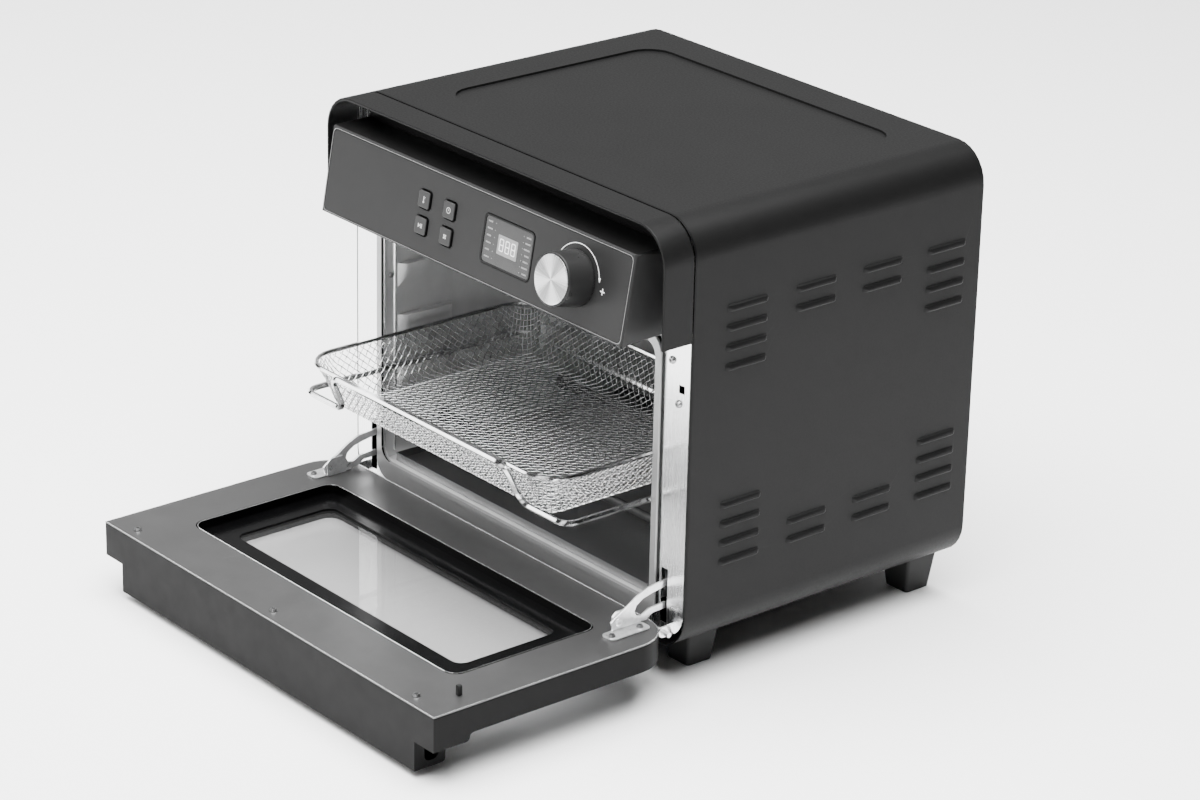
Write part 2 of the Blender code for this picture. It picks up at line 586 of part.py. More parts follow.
def make_cavity():
    """Steel liner with a proud front flange and pressed rack ribs on its side walls."""
    half = CAVITY_HALF_W + SHEET
    ob = box("oven_cavity", (-half, -0.001, CAVITY_FLOOR - SHEET),
             (half, CAVITY_DEPTH + SHEET, CAVITY_CEILING + SHEET), LINER)
    flange = bmesh.new()
    prism_into(flange, rounded(-FLANGE_HALF_W, FLANGE_HALF_W, FLANGE_LOW, FLANGE_HIGH, FLANGE_R, 7), 1,
               -FLANGE_PROUD, 0.0004)
    cut(ob, tool_from("cavity_flange", flange), "UNION")
    inside = bmesh.new()
    box_into(inside, (-CAVITY_HALF_W, 0.001, CAVITY_FLOOR), (CAVITY_HALF_W, CAVITY_DEPTH, CAVITY_CEILING))
    cut(ob, tool_from("cavity_inside", inside))
    mouth = bmesh.new()
    prism_into(mouth, rounded(-OPEN_HALF_W, OPEN_HALF_W, CAVITY_FLOOR, MOUTH_TOP, MOUTH_R, 7), 1,
               -0.1, 0.002)
    cut(ob, tool_from("cavity_mouth", mouth))
    ribs = bmesh.new()
    for side in (-1, 1):
        for y in RIB_Y:
            for top in RIB_TOPS:
                wall = side * (CAVITY_HALF_W + SHEET / 2)
                crest = side * (CAVITY_HALF_W - RIB_DEPTH)
                base = [(wall, y, top), (wall, y + RIB_LENGTH, top),
                        (wall, y + RIB_LENGTH, top - RIB_HEIGHT), (wall, y, top - RIB_HEIGHT)]
                tip = [(crest, y + 0.006, top), (crest, y + RIB_LENGTH - 0.006, top),
                       (crest, y + RIB_LENGTH - 0.008, top - 0.007), (crest, y + 0.008, top - 0.007)]
                a = [ribs.verts.new(p) for p in base]
                b = [ribs.verts.new(p) for p in tip]
                ribs.faces.new(a)
                ribs.faces.new(b)
                for k in range(4):
                    ribs.faces.new((a[k], a[(k + 1) % 4], b[(k + 1) % 4], b[k]))
    cut(ob, tool_from("cavity_ribs", ribs), "UNION")
    shaft = bmesh.new()
    cylinder_into(shaft, (0.0, FAN_Y, CAVITY_CEILING), Z_AXIS, 0.006, 0.02, 20)
    cut(ob, tool_from("cavity_shaft_hole", shaft))
    return ob


def make_crumb_tray():
    low = CAVITY_FLOOR + GAP
    ob = box("crumb_tray", (-TRAY_HALF_W, TRAY_Y0, low), (TRAY_HALF_W, TRAY_Y1, low + TRAY_H), STEEL)
    dish = bmesh.new()
    box_into(dish, (-TRAY_HALF_W + SHEET, TRAY_Y0 + SHEET, low + SHEET),
             (TRAY_HALF_W - SHEET, TRAY_Y1 - SHEET, low + 2 * TRAY_H))
    cut(ob, tool_from("tray_dish", dish))
    return ob


def make_heaters():
    for y, name in zip(LOWER_HEATER_Y, ("heater_lower_front", "heater_lower_rear")):
        end = CAVITY_HALF_W - GAP
        ob = cylinder(name, (0.0, y, LOWER_HEATER_Z), (1, 0, 0), ROD_HEATER_R, 2 * end, HEATER, sides=16)
        collars = bmesh.new()
        for side in (-1, 1):
            cylinder_into(collars, (side * (end - 0.003), y, LOWER_HEATER_Z), (1, 0, 0), 0.0062, 0.0060, 16)
        cut(ob, tool_from(name + "_collars", collars), "UNION")
    steps = 40
    ring = [(UPPER_HEATER_R * math.cos(2 * math.pi * k / steps),
             FAN_Y + UPPER_HEATER_R * math.sin(2 * math.pi * k / steps), UPPER_HEATER_Z)
            for k in range(steps)]
    ob = wire("heater_upper", ring, ROD_HEATER_R, True, HEATER)
    legs = bmesh.new()
    for side in (-1, 1):
        top = CAVITY_CEILING - GAP
        cylinder_into(legs, (side * 0.012, FAN_Y + UPPER_HEATER_R - 0.0008, (UPPER_HEATER_Z + top) / 2),
                      Z_AXIS, 0.0030, top - UPPER_HEATER_Z, 12)
    cut(ob, tool_from("heater_upper_legs", legs), "UNION")


def make_fan():
    motor = cylinder("fan_motor", (0.0, FAN_Y, (MOTOR_Z0 + MOTOR_Z1) / 2), Z_AXIS, MOTOR_R,
                     MOTOR_Z1 - MOTOR_Z0, ZINC, sides=32)
    foot = bmesh.new()
    box_into(foot, (-0.045, FAN_Y - 0.014, CAVITY_CEILING + SHEET + GAP), (0.045, FAN_Y + 0.014, 0.2590))
    cut(motor, tool_from("motor_foot", foot), "UNION")
    well = bmesh.new()
    cylinder_into(well, (0.0, FAN_Y, 0.2600), Z_AXIS, 0.0050, 0.0240, 20)
    cut(motor, tool_from("motor_shaft_well", well))

    bm = bmesh.new()
    cylinder_into(bm, (0, 0, FAN_Z1 - 0.0005), Z_AXIS, FAN_R, 0.0010, 36)
    fan = add("convection_fan", to_mesh("convection_fan", bm), ZINC)
    fan.location = (0.0, FAN_Y, 0.0)
    blades = bmesh.new()
    for k in range(BLADES):
        turn = Matrix.Rotation(2 * math.pi * k / BLADES, 4, "Z")
        before = set(blades.verts)
        box_into(blades, (0.020, -0.0006, FAN_Z0), (FAN_R - 0.002, 0.0006, FAN_Z1 - 0.0004))
        bmesh.ops.transform(blades, matrix=turn, verts=[v for v in blades.verts if v not in before])
    blade_tool = tool_from("fan_blades", blades)
    blade_tool.location = fan.location
    cut(fan, blade_tool, "UNION")
    hub = bmesh.new()
    cylinder_into(hub, (0, 0, (FAN_Z0 + 0.2660) / 2), Z_AXIS, 0.0040, 0.2660 - FAN_Z0, 20)
    hub_tool = tool_from("fan_hub", hub)
    hub_tool.location = fan.location
    cut(fan, hub_tool, "UNION")

    guard = cylinder("fan_guard", (0.0, FAN_Y, GUARD_Z), Z_AXIS, GUARD_R, 0.0010, STEEL, sides=36)
    windows = bmesh.new()
    for radius, pieces in ((0.020, 6), (0.036, 10), (0.052, 14)):
        for k in range(pieces):
            a = 2 * math.pi * k / pieces
            cylinder_into(windows, (radius * math.cos(a), FAN_Y + radius * math.sin(a), GUARD_Z),
                          Z_AXIS, 0.0050, 0.01, 6)
    cut(guard, tool_from("guard_holes", windows))
    posts = bmesh.new()
    for k in range(4):
        a = math.pi / 4 + math.pi / 2 * k
        top = CAVITY_CEILING - GAP
        x, y = GUARD_POST_R * math.cos(a), FAN_Y + GUARD_POST_R * math.sin(a)
        cylinder_into(posts, (x, y, (GUARD_Z + top) / 2), Z_AXIS, 0.0025, top - GUARD_Z, 12)
    cut(guard, tool_from("guard_posts", posts), "UNION")


def make_electrics():
    ob = box("power_board", (0.060, 0.030, 0.2750), (0.150, 0.100, 0.2766), BOARD)
    parts = bmesh.new()
    box_into(parts, (0.068, 0.036, 0.2760), (0.090, 0.058, 0.2960))
    box_into(parts, (0.100, 0.040, 0.2760), (0.116, 0.056, 0.2920))
    cylinder_into(parts, (0.135, 0.080, 0.2860), Z_AXIS, 0.0080, 0.0200, 20)
    low, high = CAVITY_CEILING + SHEET + GAP, 0.2752
    for x in (0.066, 0.144):
        for y in (0.036, 0.094):
            cylinder_into(parts, (x, y, (low + high) / 2), Z_AXIS, 0.0025, high - low, 10)
    cut(ob, tool_from("board_parts", parts), "UNION")
    peg_z = HINGE_Z + HINGE_Y - PEG_Y
    box("door_switch", (PEG_X - 0.0045, 0.0062, peg_z - 0.010),
        (PEG_X + 0.0045, 0.0182, peg_z + 0.010), PLASTIC)


# ---------------------------------------------------------------- door


def door_outline(grow=0.0, steps=7):
    return rounded(-DOOR_HALF_W - grow, DOOR_HALF_W + grow, DOOR_FRONT_Y - grow, DOOR_BACK_Y + grow,
                   (DOOR_CORNER_R + grow, DOOR_CORNER_R + grow, 0.0, 0.0), steps)


def make_door():
    """Every door piece hangs from the outer shell, whose origin is on the hinge line."""
    sheet_low = DOOR_TOP_Z - SHEET
    shell = prism("door_shell", door_outline(), 2, HANDLE_LOW_Z, sheet_low - GAP, PLASTIC)
    under = bmesh.new()
    curve = arc(-0.1945, DOOR_FRONT_LOW_Z + 0.0036, 0.0036, 270, 340, 4)
    curve += arc(-0.1878, DOOR_LOW_Z - 0.0036, 0.0036, 160, 90, 4)
    profile = [(-0.3, DOOR_FRONT_LOW_Z)] + curve + [(0.05, DOOR_LOW_Z), (0.05, -0.05), (-0.3, -0.05)]
    for side in (-1, 1):
        start, end = sorted((side * HANDLE_HALF_W, side * 0.3))
        prism_into(under, profile, 0, start, end)
    cut(shell, tool_from("shell_ends_below", under))
    behind = bmesh.new()
    r, c = HANDLE_LIP_T / 2, CHANNEL_R
    wall, lip = DOOR_FRONT_Y + HANDLE_WALL, HANDLE_BACK_Y - HANDLE_LIP_T
    floor = HANDLE_LOW_Z + HANDLE_FLOOR
    hook = [(0.05, DOOR_LOW_Z), (0.05, -0.05), (HANDLE_BACK_Y - r, -0.05)]
    hook += arc(HANDLE_BACK_Y - r, HANDLE_LOW_Z + r, r, 270, 360, 4)
    hook += arc(HANDLE_BACK_Y - r, HANDLE_LIP_Z - r, r, 0, 180, 8)
    hook += arc(lip - c, floor + c, c, 0, -90, 4)
    hook += arc(wall + c, floor + c, c, 270, 180, 4)
    hook += arc(wall + 0.003, DOOR_FRONT_LOW_Z - 0.003, 0.003, 180, 90, 4)
    hook += curve
    prism_into(behind, hook, 0, -HANDLE_HALF_W - 0.001, HANDLE_HALF_W + 0.001)
    cut(shell, tool_from("shell_finger_gap", behind))
    hollow = bmesh.new()
    floor = DOOR_LOW_Z + 0.0030
    prism_into(hollow, rounded(-DOOR_HALF_W + 0.003, DOOR_HALF_W - 0.003, DOOR_FRONT_Y + 0.003, -0.1880,
                               0.002, 2), 2, floor, 0.1)
    for side in (-1, 1):
        x0, x1 = side * (WINDOW_HALF_W + 0.014), side * (DOOR_HALF_W - 0.003)
        prism_into(hollow, rounded(min(x0, x1), max(x0, x1), -0.1850, -0.0600, 0.002, 2), 2, floor, 0.1)
    cut(shell, tool_from("shell_hollow", hollow))
    window = bmesh.new()
    prism_into(window, rounded(-CLEAR_HALF_W - 0.004, CLEAR_HALF_W + 0.004, CLEAR_Y0 - 0.004,
                               CLEAR_Y1 + 0.004, 0.010, 4), 2, 0.0, 0.1)
    cut(shell, tool_from("shell_window", window))
    rebate = bmesh.new()
    prism_into(rebate, rounded(-GLASS_HALF_W - GAP, GLASS_HALF_W + GAP, GLASS_Y0 - GAP, GLASS_Y1 + GAP,
                               0.008, 4), 2, 0.0, DOOR_LOW_Z + GLASS_T + GAP)
    cut(shell, tool_from("shell_glass_rebate", rebate))
    seat = bmesh.new()
    prism_into(seat, rounded(-MASK_HALF_W - GAP, MASK_HALF_W + GAP, MASK_Y0 - GAP, MASK_Y1 + GAP,
                             0.010, 4), 2, MASK_LOW - GLASS_T - 3 * GAP, 0.1)
    cut(shell, tool_from("shell_mask_seat", seat))
    pockets = bmesh.new()
    for side in (-1, 1):
        x = side * LUG_X
        box_into(pockets, (x - LUG_T / 2 - 0.0006, HINGE_Y - 0.0046, HINGE_Z - 0.0046),
                 (x + LUG_T / 2 + 0.0006, 0.01, 0.1))
    lug_room = tool_from("shell_lug_pockets", pockets)
    cut(shell, lug_room)
    bores = bmesh.new()
    cylinder_into(bores, (0.0, HINGE_Y, HINGE_Z), (1, 0, 0), PIN_R + GAP, 2 * PIN_END + 2 * GAP, 20)
    cut(shell, tool_from("shell_pin_bores", bores))
    soften(shell, 0.0009, 1)
    set_origin(shell, (0.0, HINGE_Y, HINGE_Z))

    sheet = prism("door_inner_sheet", door_outline(), 2, sheet_low, DOOR_TOP_Z, DARK_SHEET)
    holes = bmesh.new()
    prism_into(holes, rounded(-WINDOW_HALF_W, WINDOW_HALF_W, WINDOW_Y0, WINDOW_Y1, 0.010, 6), 2, 0.0, 0.1)
    cut(sheet, tool_from("sheet_window", holes))
    cut(sheet, lug_room)
    place_under(sheet, shell)

    mask = prism("door_window_mask", rounded(-MASK_HALF_W, MASK_HALF_W, MASK_Y0, MASK_Y1, 0.010, 4), 2,
                 MASK_LOW, sheet_low - GAP, PLASTIC)
    clear = bmesh.new()
    prism_into(clear, rounded(-CLEAR_HALF_W, CLEAR_HALF_W, CLEAR_Y0, CLEAR_Y1, 0.008, 6), 2, 0.0, 0.1)
    cut(mask, tool_from("mask_opening", clear))
    dish = bmesh.new()
    prism_into(dish, rounded(-WINDOW_HALF_W, WINDOW_HALF_W, WINDOW_Y0, WINDOW_Y1, 0.009, 6), 2,
               MASK_LOW + 0.0015, 0.1)
    cut(mask, tool_from("mask_dish", dish))
    place_under(mask, shell)
    inner = prism("door_inner_glass", rounded(-MASK_HALF_W, MASK_HALF_W, MASK_Y0, MASK_Y1, 0.010, 4), 2,
                  MASK_LOW - GLASS_T - GAP, MASK_LOW - GAP, GLASS)
    place_under(inner, shell)
    outer = prism("door_outer_glass", rounded(-GLASS_HALF_W, GLASS_HALF_W, GLASS_Y0, GLASS_Y1, 0.008, 4), 2,
                  DOOR_LOW_Z, DOOR_LOW_Z + GLASS_T, GLASS)
    place_under(outer, shell)
    peg = box("door_switch_peg", (PEG_X - PEG_SIZE / 2, PEG_Y - PEG_SIZE / 2, DOOR_TOP_Z + GAP),
              (PEG_X + PEG_SIZE / 2, PEG_Y + PEG_SIZE / 2, DOOR_TOP_Z + PEG_HEIGHT), PLASTIC)
    soften(peg, 0.0005)
    place_under(peg, shell)
    for side, tag in ((1, "right"), (-1, "left")):
        make_hinge(side, tag, shell)
    for k, x in enumerate(DOOR_SCREW_X):
        screw("door_screw_%d" % (k + 1), (x, DOOR_SCREW_Y, DOOR_TOP_Z + GAP), Z_AXIS, shell)
    return shell


def set_origin(ob, point):
    """Move the object's origin without moving its surface."""
    ob.data.transform(Matrix.Translation(-Vector(point)))
    ob.location = point


def make_hinge(side, tag, shell):
    """C-shaped arm, its bracket with two screws, and the pin that the door turns on."""
    base = DOOR_TOP_Z + 0.0014
    outline = [(-0.0460, base), (-0.0477, base + 0.0061), (-0.0446, base + 0.0088),
               (-0.0336, base + 0.0148), (-0.0244, base + 0.0206), (-0.0151, base + 0.0244),
               (0.0040, base + 0.0262), (0.0044, base + 0.0214), (-0.0110, base + 0.0190),
               (-0.0196, base + 0.0169), (-0.0253, base + 0.0132), (-0.0269, base + 0.0092),
               (-0.0250, base + 0.0056), (-0.0205, base + 0.0046), (-0.0140, base + 0.0080),
               (0.0010, base + 0.0092), (0.0014, base + 0.0042), (-0.0105, base + 0.0038),
               (-0.0160, base)]
    arm = prism("hinge_arm_" + tag, outline, 0, side * ARM_X - ARM_T / 2, side * ARM_X + ARM_T / 2, ZINC)
    soften(arm, 0.0003)
    place_under(arm, shell)
    foot_low = DOOR_TOP_Z + GAP
    inner = side * (ARM_X - ARM_T / 2 - GAP)
    outer = side * 0.1800
    low_x, high_x = min(inner, outer), max(inner, outer)
    bracket = prism("hinge_bracket_" + tag,
                    rounded(low_x, high_x, -0.0560, -0.0200, 0.004, 3), 2, foot_low, foot_low + 0.0008, ZINC)
    ear = bmesh.new()
    ear_out = side * (ARM_X - ARM_T / 2 - GAP - 0.0012)
    prism_into(ear, [(-0.0450, foot_low), (-0.0450, base + 0.0095), (-0.0415, base + 0.0125),
                     (-0.0310, base + 0.0125), (-0.0280, base + 0.0090), (-0.0280, foot_low)], 0,
               min(inner, ear_out), max(inner, ear_out))
    cut(bracket, tool_from("bracket_ear_" + tag, ear), "UNION")
    place_under(bracket, shell)
    pin = cylinder("hinge_pin_" + tag, (side * (PIN_END + PIN_START) / 2, HINGE_Y, HINGE_Z), (1, 0, 0),
                   PIN_R, PIN_END - PIN_START, ZINC, sides=20)
    place_under(pin, shell)
    for k, y in enumerate(BRACKET_SCREW_Y):
        seat = (side * BRACKET_SCREW_X, y, foot_low + 0.0008 + GAP)
        screw("hinge_screw_%s_%d" % (tag, k + 1), seat, Z_AXIS, shell, 0.0026)


def screw(name, seat, axis, parent=None, radius=0.0029):
    """Pan-head screw with a cross recess, standing on the seat point."""
    turn = Z_AXIS.rotation_difference(Vector(axis)).to_matrix().to_4x4()
    bm = bmesh.new()
    height = radius * 0.55
    cylinder_into(bm, (0, 0, height / 2), Z_AXIS, radius, height, 16, radius * 0.72)
    ob = add(name, to_mesh(name, bm), STEEL)
    cross = bmesh.new()
    arm = radius * 0.55
    slit = radius * 0.14
    box_into(cross, (-arm, -slit, height * 0.45), (arm, slit, height * 2))
    box_into(cross, (-slit, -arm, height * 0.45), (slit, arm, height * 2))
    tool = tool_from(name + "_recess", cross)
    for item in (ob, tool):
        item.matrix_world = Matrix.Translation(seat) @ turn
    mod = cut(ob, tool)
    mod.use_self = True
    if parent:
        place_under(ob, parent)
    return ob


# ---------------------------------------------------------------- basket


def make_basket():
    """Mesh body, chromed rim and support rod; the rod carries the other two."""
    x, f, b = ROD_HALF_W, ROD_FRONT_Y, BASKET_BACK_Y
    rise, top = HANDLE_RISE_X, RIM_Z + 0.0012
    lift_y = BASKET_FRONT_Y - ROD_R - RIM_R - 0.0010
    corners = [(-x, b, ROD_Z), (-x, f, ROD_Z), (-rise - 0.002, f, ROD_Z), (-rise, lift_y, top),
               (rise, lift_y, top), (rise + 0.002, f, ROD_Z), (x, f, ROD_Z), (x, b, ROD_Z)]
    rod = wire("basket_frame", round_path(corners, 0.010, True, 4), ROD_R, True, CHROME, sides=8)
    set_origin(rod, (0.0, 0.0, ROD_Z))

    outline = rounded(-RIM_HALF_W, RIM_HALF_W, BASKET_FRONT_Y, b - 0.004, 0.026, 6)
    rim = wire("basket_rim", [(px, py, RIM_Z) for px, py in outline], RIM_R, True, CHROME, sides=8)
    place_under(rim, rod)

    bm = bmesh.new()
    high, low = RIM_Z - RIM_R - GAP, MESH_LOW_Z
    middle = (BASKET_FRONT_Y + b - 0.004) / 2
    half_y = (b - 0.004 - BASKET_FRONT_Y) / 2
    rings = [(high, 0.0005, 0.0260), (0.1480, 0.0090, 0.0240), (low + 0.0050, 0.0136, 0.0220),
             (low, 0.0190, 0.0200)]
    inside = [(z + (MESH_T if z == low else 0.0), inset + MESH_T, r - MESH_T) for z, inset, r in rings]

    def ring(z, inset, radius):
        points = rounded(-RIM_HALF_W + inset, RIM_HALF_W - inset, middle - half_y + inset,
                         middle + half_y - inset, radius, 4)
        return [bm.verts.new((px, py, z)) for px, py in points]

    outer = [ring(*r) for r in rings]
    inner = [ring(*r) for r in inside]
    for walls in (outer, inner):
        for upper, lower in zip(walls, walls[1:]):
            for k in range(len(upper)):
                j = (k + 1) % len(upper)
                bm.faces.new((upper[k], upper[j], lower[j], lower[k]))
        bm.faces.new(walls[-1])
    for k in range(len(outer[0])):
        j = (k + 1) % len(outer[0])
        bm.faces.new((outer[0][k], outer[0][j], inner[0][j], inner[0][k]))
    mesh = add("basket_mesh", to_mesh("basket_mesh", bm), CHROME)
    place_under(mesh, rod)


def make_body_screws():
    """Two screws in the frame beside the latch slot, and one in each side wall just inside the mouth."""
    screw("frame_screw_upper", (FRAME_SCREW_X, -GAP, FRAME_SCREW_Z), (0, -1, 0))
    screw("frame_screw_lower", (TAB_SCREW_X, -GAP, TAB_SCREW_Z), (0, -1, 0))
    for side, tag in ((1, "right"), (-1, "left")):
        screw("cavity_screw_" + tag, (side * (CAVITY_HALF_W - GAP), CAVITY_SCREW_Y, CAVITY_SCREW_Z),
              (-side, 0, 0), None, 0.0024)


make_cover()
make_base()
make_rear_panel()
make_inlet()
make_feet()
make_bezel()
make_panel()
make_controls()
make_frame()
make_cavity()
make_crumb_tray()
make_heaters()
make_fan()
make_electrics()
make_door()
make_basket()
make_body_screws()

bpy.context.view_layer.update()
for ob in list(main.objects) + list(cutters.objects):
    if ob.parent is None:
        ob.location.y -= CENTRE_Y
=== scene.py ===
"""Looks, floor, lights and camera for the toaster oven."""

import json
import math

import bmesh
import bpy
import numpy as np
from mathutils import Matrix, Vector


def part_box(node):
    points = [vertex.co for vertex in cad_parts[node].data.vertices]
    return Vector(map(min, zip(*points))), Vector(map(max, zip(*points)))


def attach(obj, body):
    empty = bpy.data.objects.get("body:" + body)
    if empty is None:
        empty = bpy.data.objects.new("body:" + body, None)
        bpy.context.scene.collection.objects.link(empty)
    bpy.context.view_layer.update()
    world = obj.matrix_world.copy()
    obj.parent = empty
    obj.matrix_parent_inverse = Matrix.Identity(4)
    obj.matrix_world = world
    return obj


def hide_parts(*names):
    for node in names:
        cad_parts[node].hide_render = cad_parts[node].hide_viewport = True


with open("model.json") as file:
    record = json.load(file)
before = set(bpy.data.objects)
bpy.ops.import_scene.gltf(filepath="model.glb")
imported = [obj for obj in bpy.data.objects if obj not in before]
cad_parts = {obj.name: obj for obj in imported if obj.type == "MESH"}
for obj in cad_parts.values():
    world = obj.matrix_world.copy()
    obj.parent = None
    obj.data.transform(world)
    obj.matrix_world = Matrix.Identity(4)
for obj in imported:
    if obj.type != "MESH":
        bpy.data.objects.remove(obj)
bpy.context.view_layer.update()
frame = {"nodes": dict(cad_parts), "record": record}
nodes = frame["nodes"]

# ---------------------------------------------------------------- camera

CAMERA_AT = Vector((1.9860, -1.6168, 1.2032))
CAMERA_AZIMUTH, CAMERA_ELEVATION, CAMERA_ROLL = 49.942, 22.279, 1.304  # degrees
CAMERA_LENS = 115.53


def make_camera():
    data = bpy.data.cameras.new("camera")
    data.lens = CAMERA_LENS
    data.sensor_width = 36.0
    data.clip_start, data.clip_end = 0.05, 60.0
    ob = bpy.data.objects.new("camera", data)
    bpy.context.scene.collection.objects.link(ob)
    turn = Matrix.Rotation(math.radians(CAMERA_AZIMUTH), 4, "Z")
    turn = turn @ Matrix.Rotation(math.radians(90.0 - CAMERA_ELEVATION), 4, "X")
    turn = turn @ Matrix.Rotation(math.radians(CAMERA_ROLL), 4, "Z")
    ob.matrix_world = Matrix.Translation(CAMERA_AT) @ turn
    bpy.context.scene.camera = ob


# name, place, size and watts; a light points at MIDDLE unless AIM says otherwise
LIGHTS = (
    ("soft_top", (0.2, -0.3, 2.6), (3.0, 3.0), 520),
    ("soft_back", (-2.8, 2.4, 1.7), (4.0, 2.4), 22),
    ("soft_left", (-2.2, -1.6, 1.7), (1.8, 1.8), 80),
    ("soft_front", (0.9, -2.8, 1.3), (1.6, 1.6), 18),
)
AIM = {"soft_front": (0.0, 0.0, 0.15)}
MIDDLE = (0.0, 0.0, 0.2)
SKY_FALL = (0.45, 0.80)  # height of the direction over which the sky darkens
SKY_STRENGTH = (0.50, 0.10)  # at the horizon and overhead
FLOOR_HALF, FLOOR_DROP = 9.0, 0.0003


def area_light(name, at, size, power):
    data = bpy.data.lights.new(name, "AREA")
    data.shape = "RECTANGLE"
    data.size, data.size_y = size
    data.energy = power
    ob = bpy.data.objects.new(name, data)
    bpy.context.scene.collection.objects.link(ob)
    ob.location = at
    ob.rotation_mode = "QUATERNION"
    ob.rotation_quaternion = (Vector(AIM.get(name, MIDDLE)) - Vector(at)).to_track_quat("-Z", "Y")


def make_studio():
    world = bpy.data.worlds.new("studio")
    bpy.context.scene.world = world
    world.use_nodes = True
    tree = world.node_tree
    split = tree.nodes.new("ShaderNodeSeparateXYZ")
    tree.links.new(tree.nodes.new("ShaderNodeTexCoord").outputs["Generated"], split.inputs["Vector"])
    fall = tree.nodes.new("ShaderNodeMapRange")
    fall.interpolation_type = "SMOOTHSTEP"
    for key, number in zip(("From Min", "From Max", "To Min", "To Max"), SKY_FALL + SKY_STRENGTH):
        fall.inputs[key].default_value = number
    tree.links.new(split.outputs["Z"], fall.inputs["Value"])
    tree.links.new(fall.outputs["Result"], tree.nodes["Background"].inputs["Strength"])
    for light in LIGHTS:
        area_light(*light)

    bm = bmesh.new()
    bmesh.ops.create_grid(bm, x_segments=4, y_segments=4, size=FLOOR_HALF)
    mesh = bpy.data.meshes.new("floor")
    bm.to_mesh(mesh)
    bm.free()
    floor = bpy.data.objects.new("floor", mesh)
    floor.location.z = -FLOOR_DROP
    bpy.context.scene.collection.objects.link(floor)
    mat = bpy.data.materials.new("pale_floor")
    mat.use_nodes = True
    shader = mat.node_tree.nodes["Principled BSDF"]
    shader.inputs["Base Color"].default_value = (0.92, 0.92, 0.92, 1.0)
    shader.inputs["Roughness"].default_value = 0.7
    mesh.materials.append(mat)


# ---------------------------------------------------------------- materials


class Look:
    """A Principled material with a few helpers for its procedural detail."""

    def __init__(self, name, colour, metallic=0.0, roughness=0.5, **values):
        self.mat = bpy.data.materials.new(name)
        self.mat.use_nodes = True
        self.tree = self.mat.node_tree
        self.shader = self.tree.nodes["Principled BSDF"]
        self.colour = colour
        self.roughness = roughness
        self.set("Base Color", (*colour, 1.0))
        self.set("Metallic", metallic)
        self.set("Roughness", roughness)
        for key, value in values.items():
            self.set(key.replace("_", " "), value)
        self.coords = self.add("ShaderNodeTexCoord").outputs["Object"]
        self.height = None

    def set(self, socket, value):
        self.shader.inputs[socket].default_value = value

    def add(self, kind, **settings):
        node = self.tree.nodes.new(kind)
        for key, value in settings.items():
            setattr(node, key, value)
        return node

    def link(self, a, b):
        self.tree.links.new(a, b)

    def stretched(self, scale):
        node = self.add("ShaderNodeMapping")
        self.link(self.coords, node.inputs["Vector"])
        node.inputs["Scale"].default_value = scale
        return node.outputs["Vector"]

    def noise(self, size, detail=3.0, stretch=(1.0, 1.0, 1.0), rough=0.55):
        """Noise with features about size metres wide; stretch divides a direction's frequency."""
        node = self.add("ShaderNodeTexNoise")
        scale = tuple(1.0 / (size * s) for s in stretch)
        self.link(self.stretched(scale), node.inputs["Vector"])
        node.inputs["Scale"].default_value = 1.0
        node.inputs["Detail"].default_value = detail
        node.inputs["Roughness"].default_value = rough
        return node.outputs["Fac"]

    def cells(self, size):
        """Rounded cells about size metres wide."""
        node = self.add("ShaderNodeTexVoronoi")
        self.link(self.coords, node.inputs["Vector"])
        node.inputs["Scale"].default_value = 1.0 / size
        return node.outputs["Distance"]

    def along(self, axis, origin):
        """Distance along an axis from a point, in the object's own coordinates."""
        local = self.add("ShaderNodeVectorMath", operation="SUBTRACT")
        self.link(self.coords, local.inputs[0])
        local.inputs[1].default_value = origin
        dot = self.add("ShaderNodeVectorMath", operation="DOT_PRODUCT")
        self.link(local.outputs["Vector"], dot.inputs[0])
        dot.inputs[1].default_value = axis
        return dot.outputs["Value"]

    def darken(self, mask, tone):
        """Mix the base colour towards a tone where the mask is 1."""
        source = self.shader.inputs["Base Color"]
        mix = self.add("ShaderNodeMix", data_type="RGBA")
        self.link(mask, mix.inputs["Factor"])
        if source.links:
            self.link(source.links[0].from_socket, mix.inputs["A"])
        mix.inputs["B"].default_value = (*tone, 1.0)
        self.link(mix.outputs["Result"], source)

    def remap(self, value, low, high, start=0.3, end=0.7):
        """Carry the range start to end over to low to high, held at both ends."""
        node = self.add("ShaderNodeMapRange")
        self.link(value, node.inputs["Value"])
        for key, number in (("From Min", start), ("From Max", end), ("To Min", low), ("To Max", high)):
            node.inputs[key].default_value = number
        return node.outputs["Result"]

    def vary_colour(self, value, darkest, lightest, start=0.3, end=0.7):
        """Vary the base colour between two multiples of itself."""
        ramp = self.add("ShaderNodeMix", data_type="RGBA")
        self.link(self.remap(value, 0.0, 1.0, start, end), ramp.inputs["Factor"])
        ramp.inputs["A"].default_value = (*(c * darkest for c in self.colour), 1.0)
        ramp.inputs["B"].default_value = (*(min(c * lightest, 1.0) for c in self.colour), 1.0)
        self.link(ramp.outputs["Result"], self.shader.inputs["Base Color"])

    def vary_roughness(self, value, low, high):
        self.link(self.remap(value, low, high), self.shader.inputs["Roughness"])

    def bump(self, value, distance, strength=1.0):
        """Add a layer of relief on top of the ones already there."""
        node = self.add("ShaderNodeBump")
        node.inputs["Distance"].default_value = distance
        node.inputs["Strength"].default_value = strength
        self.link(value, node.inputs["Height"])
        if self.height:
            self.link(self.height, node.inputs["Normal"])
        self.height = node.outputs["Normal"]
        self.link(self.height, self.shader.inputs["Normal"])


def grey(value, tint=0.0):
    """Linear grey from an sRGB level between 0 and 255, slightly cool for a positive tint."""
    v = value / 255.0
    v = v / 12.92 if v <= 0.04045 else ((v + 0.055) / 1.055) ** 2.4
    return (v * (1 - tint), v, v * (1 + tint))


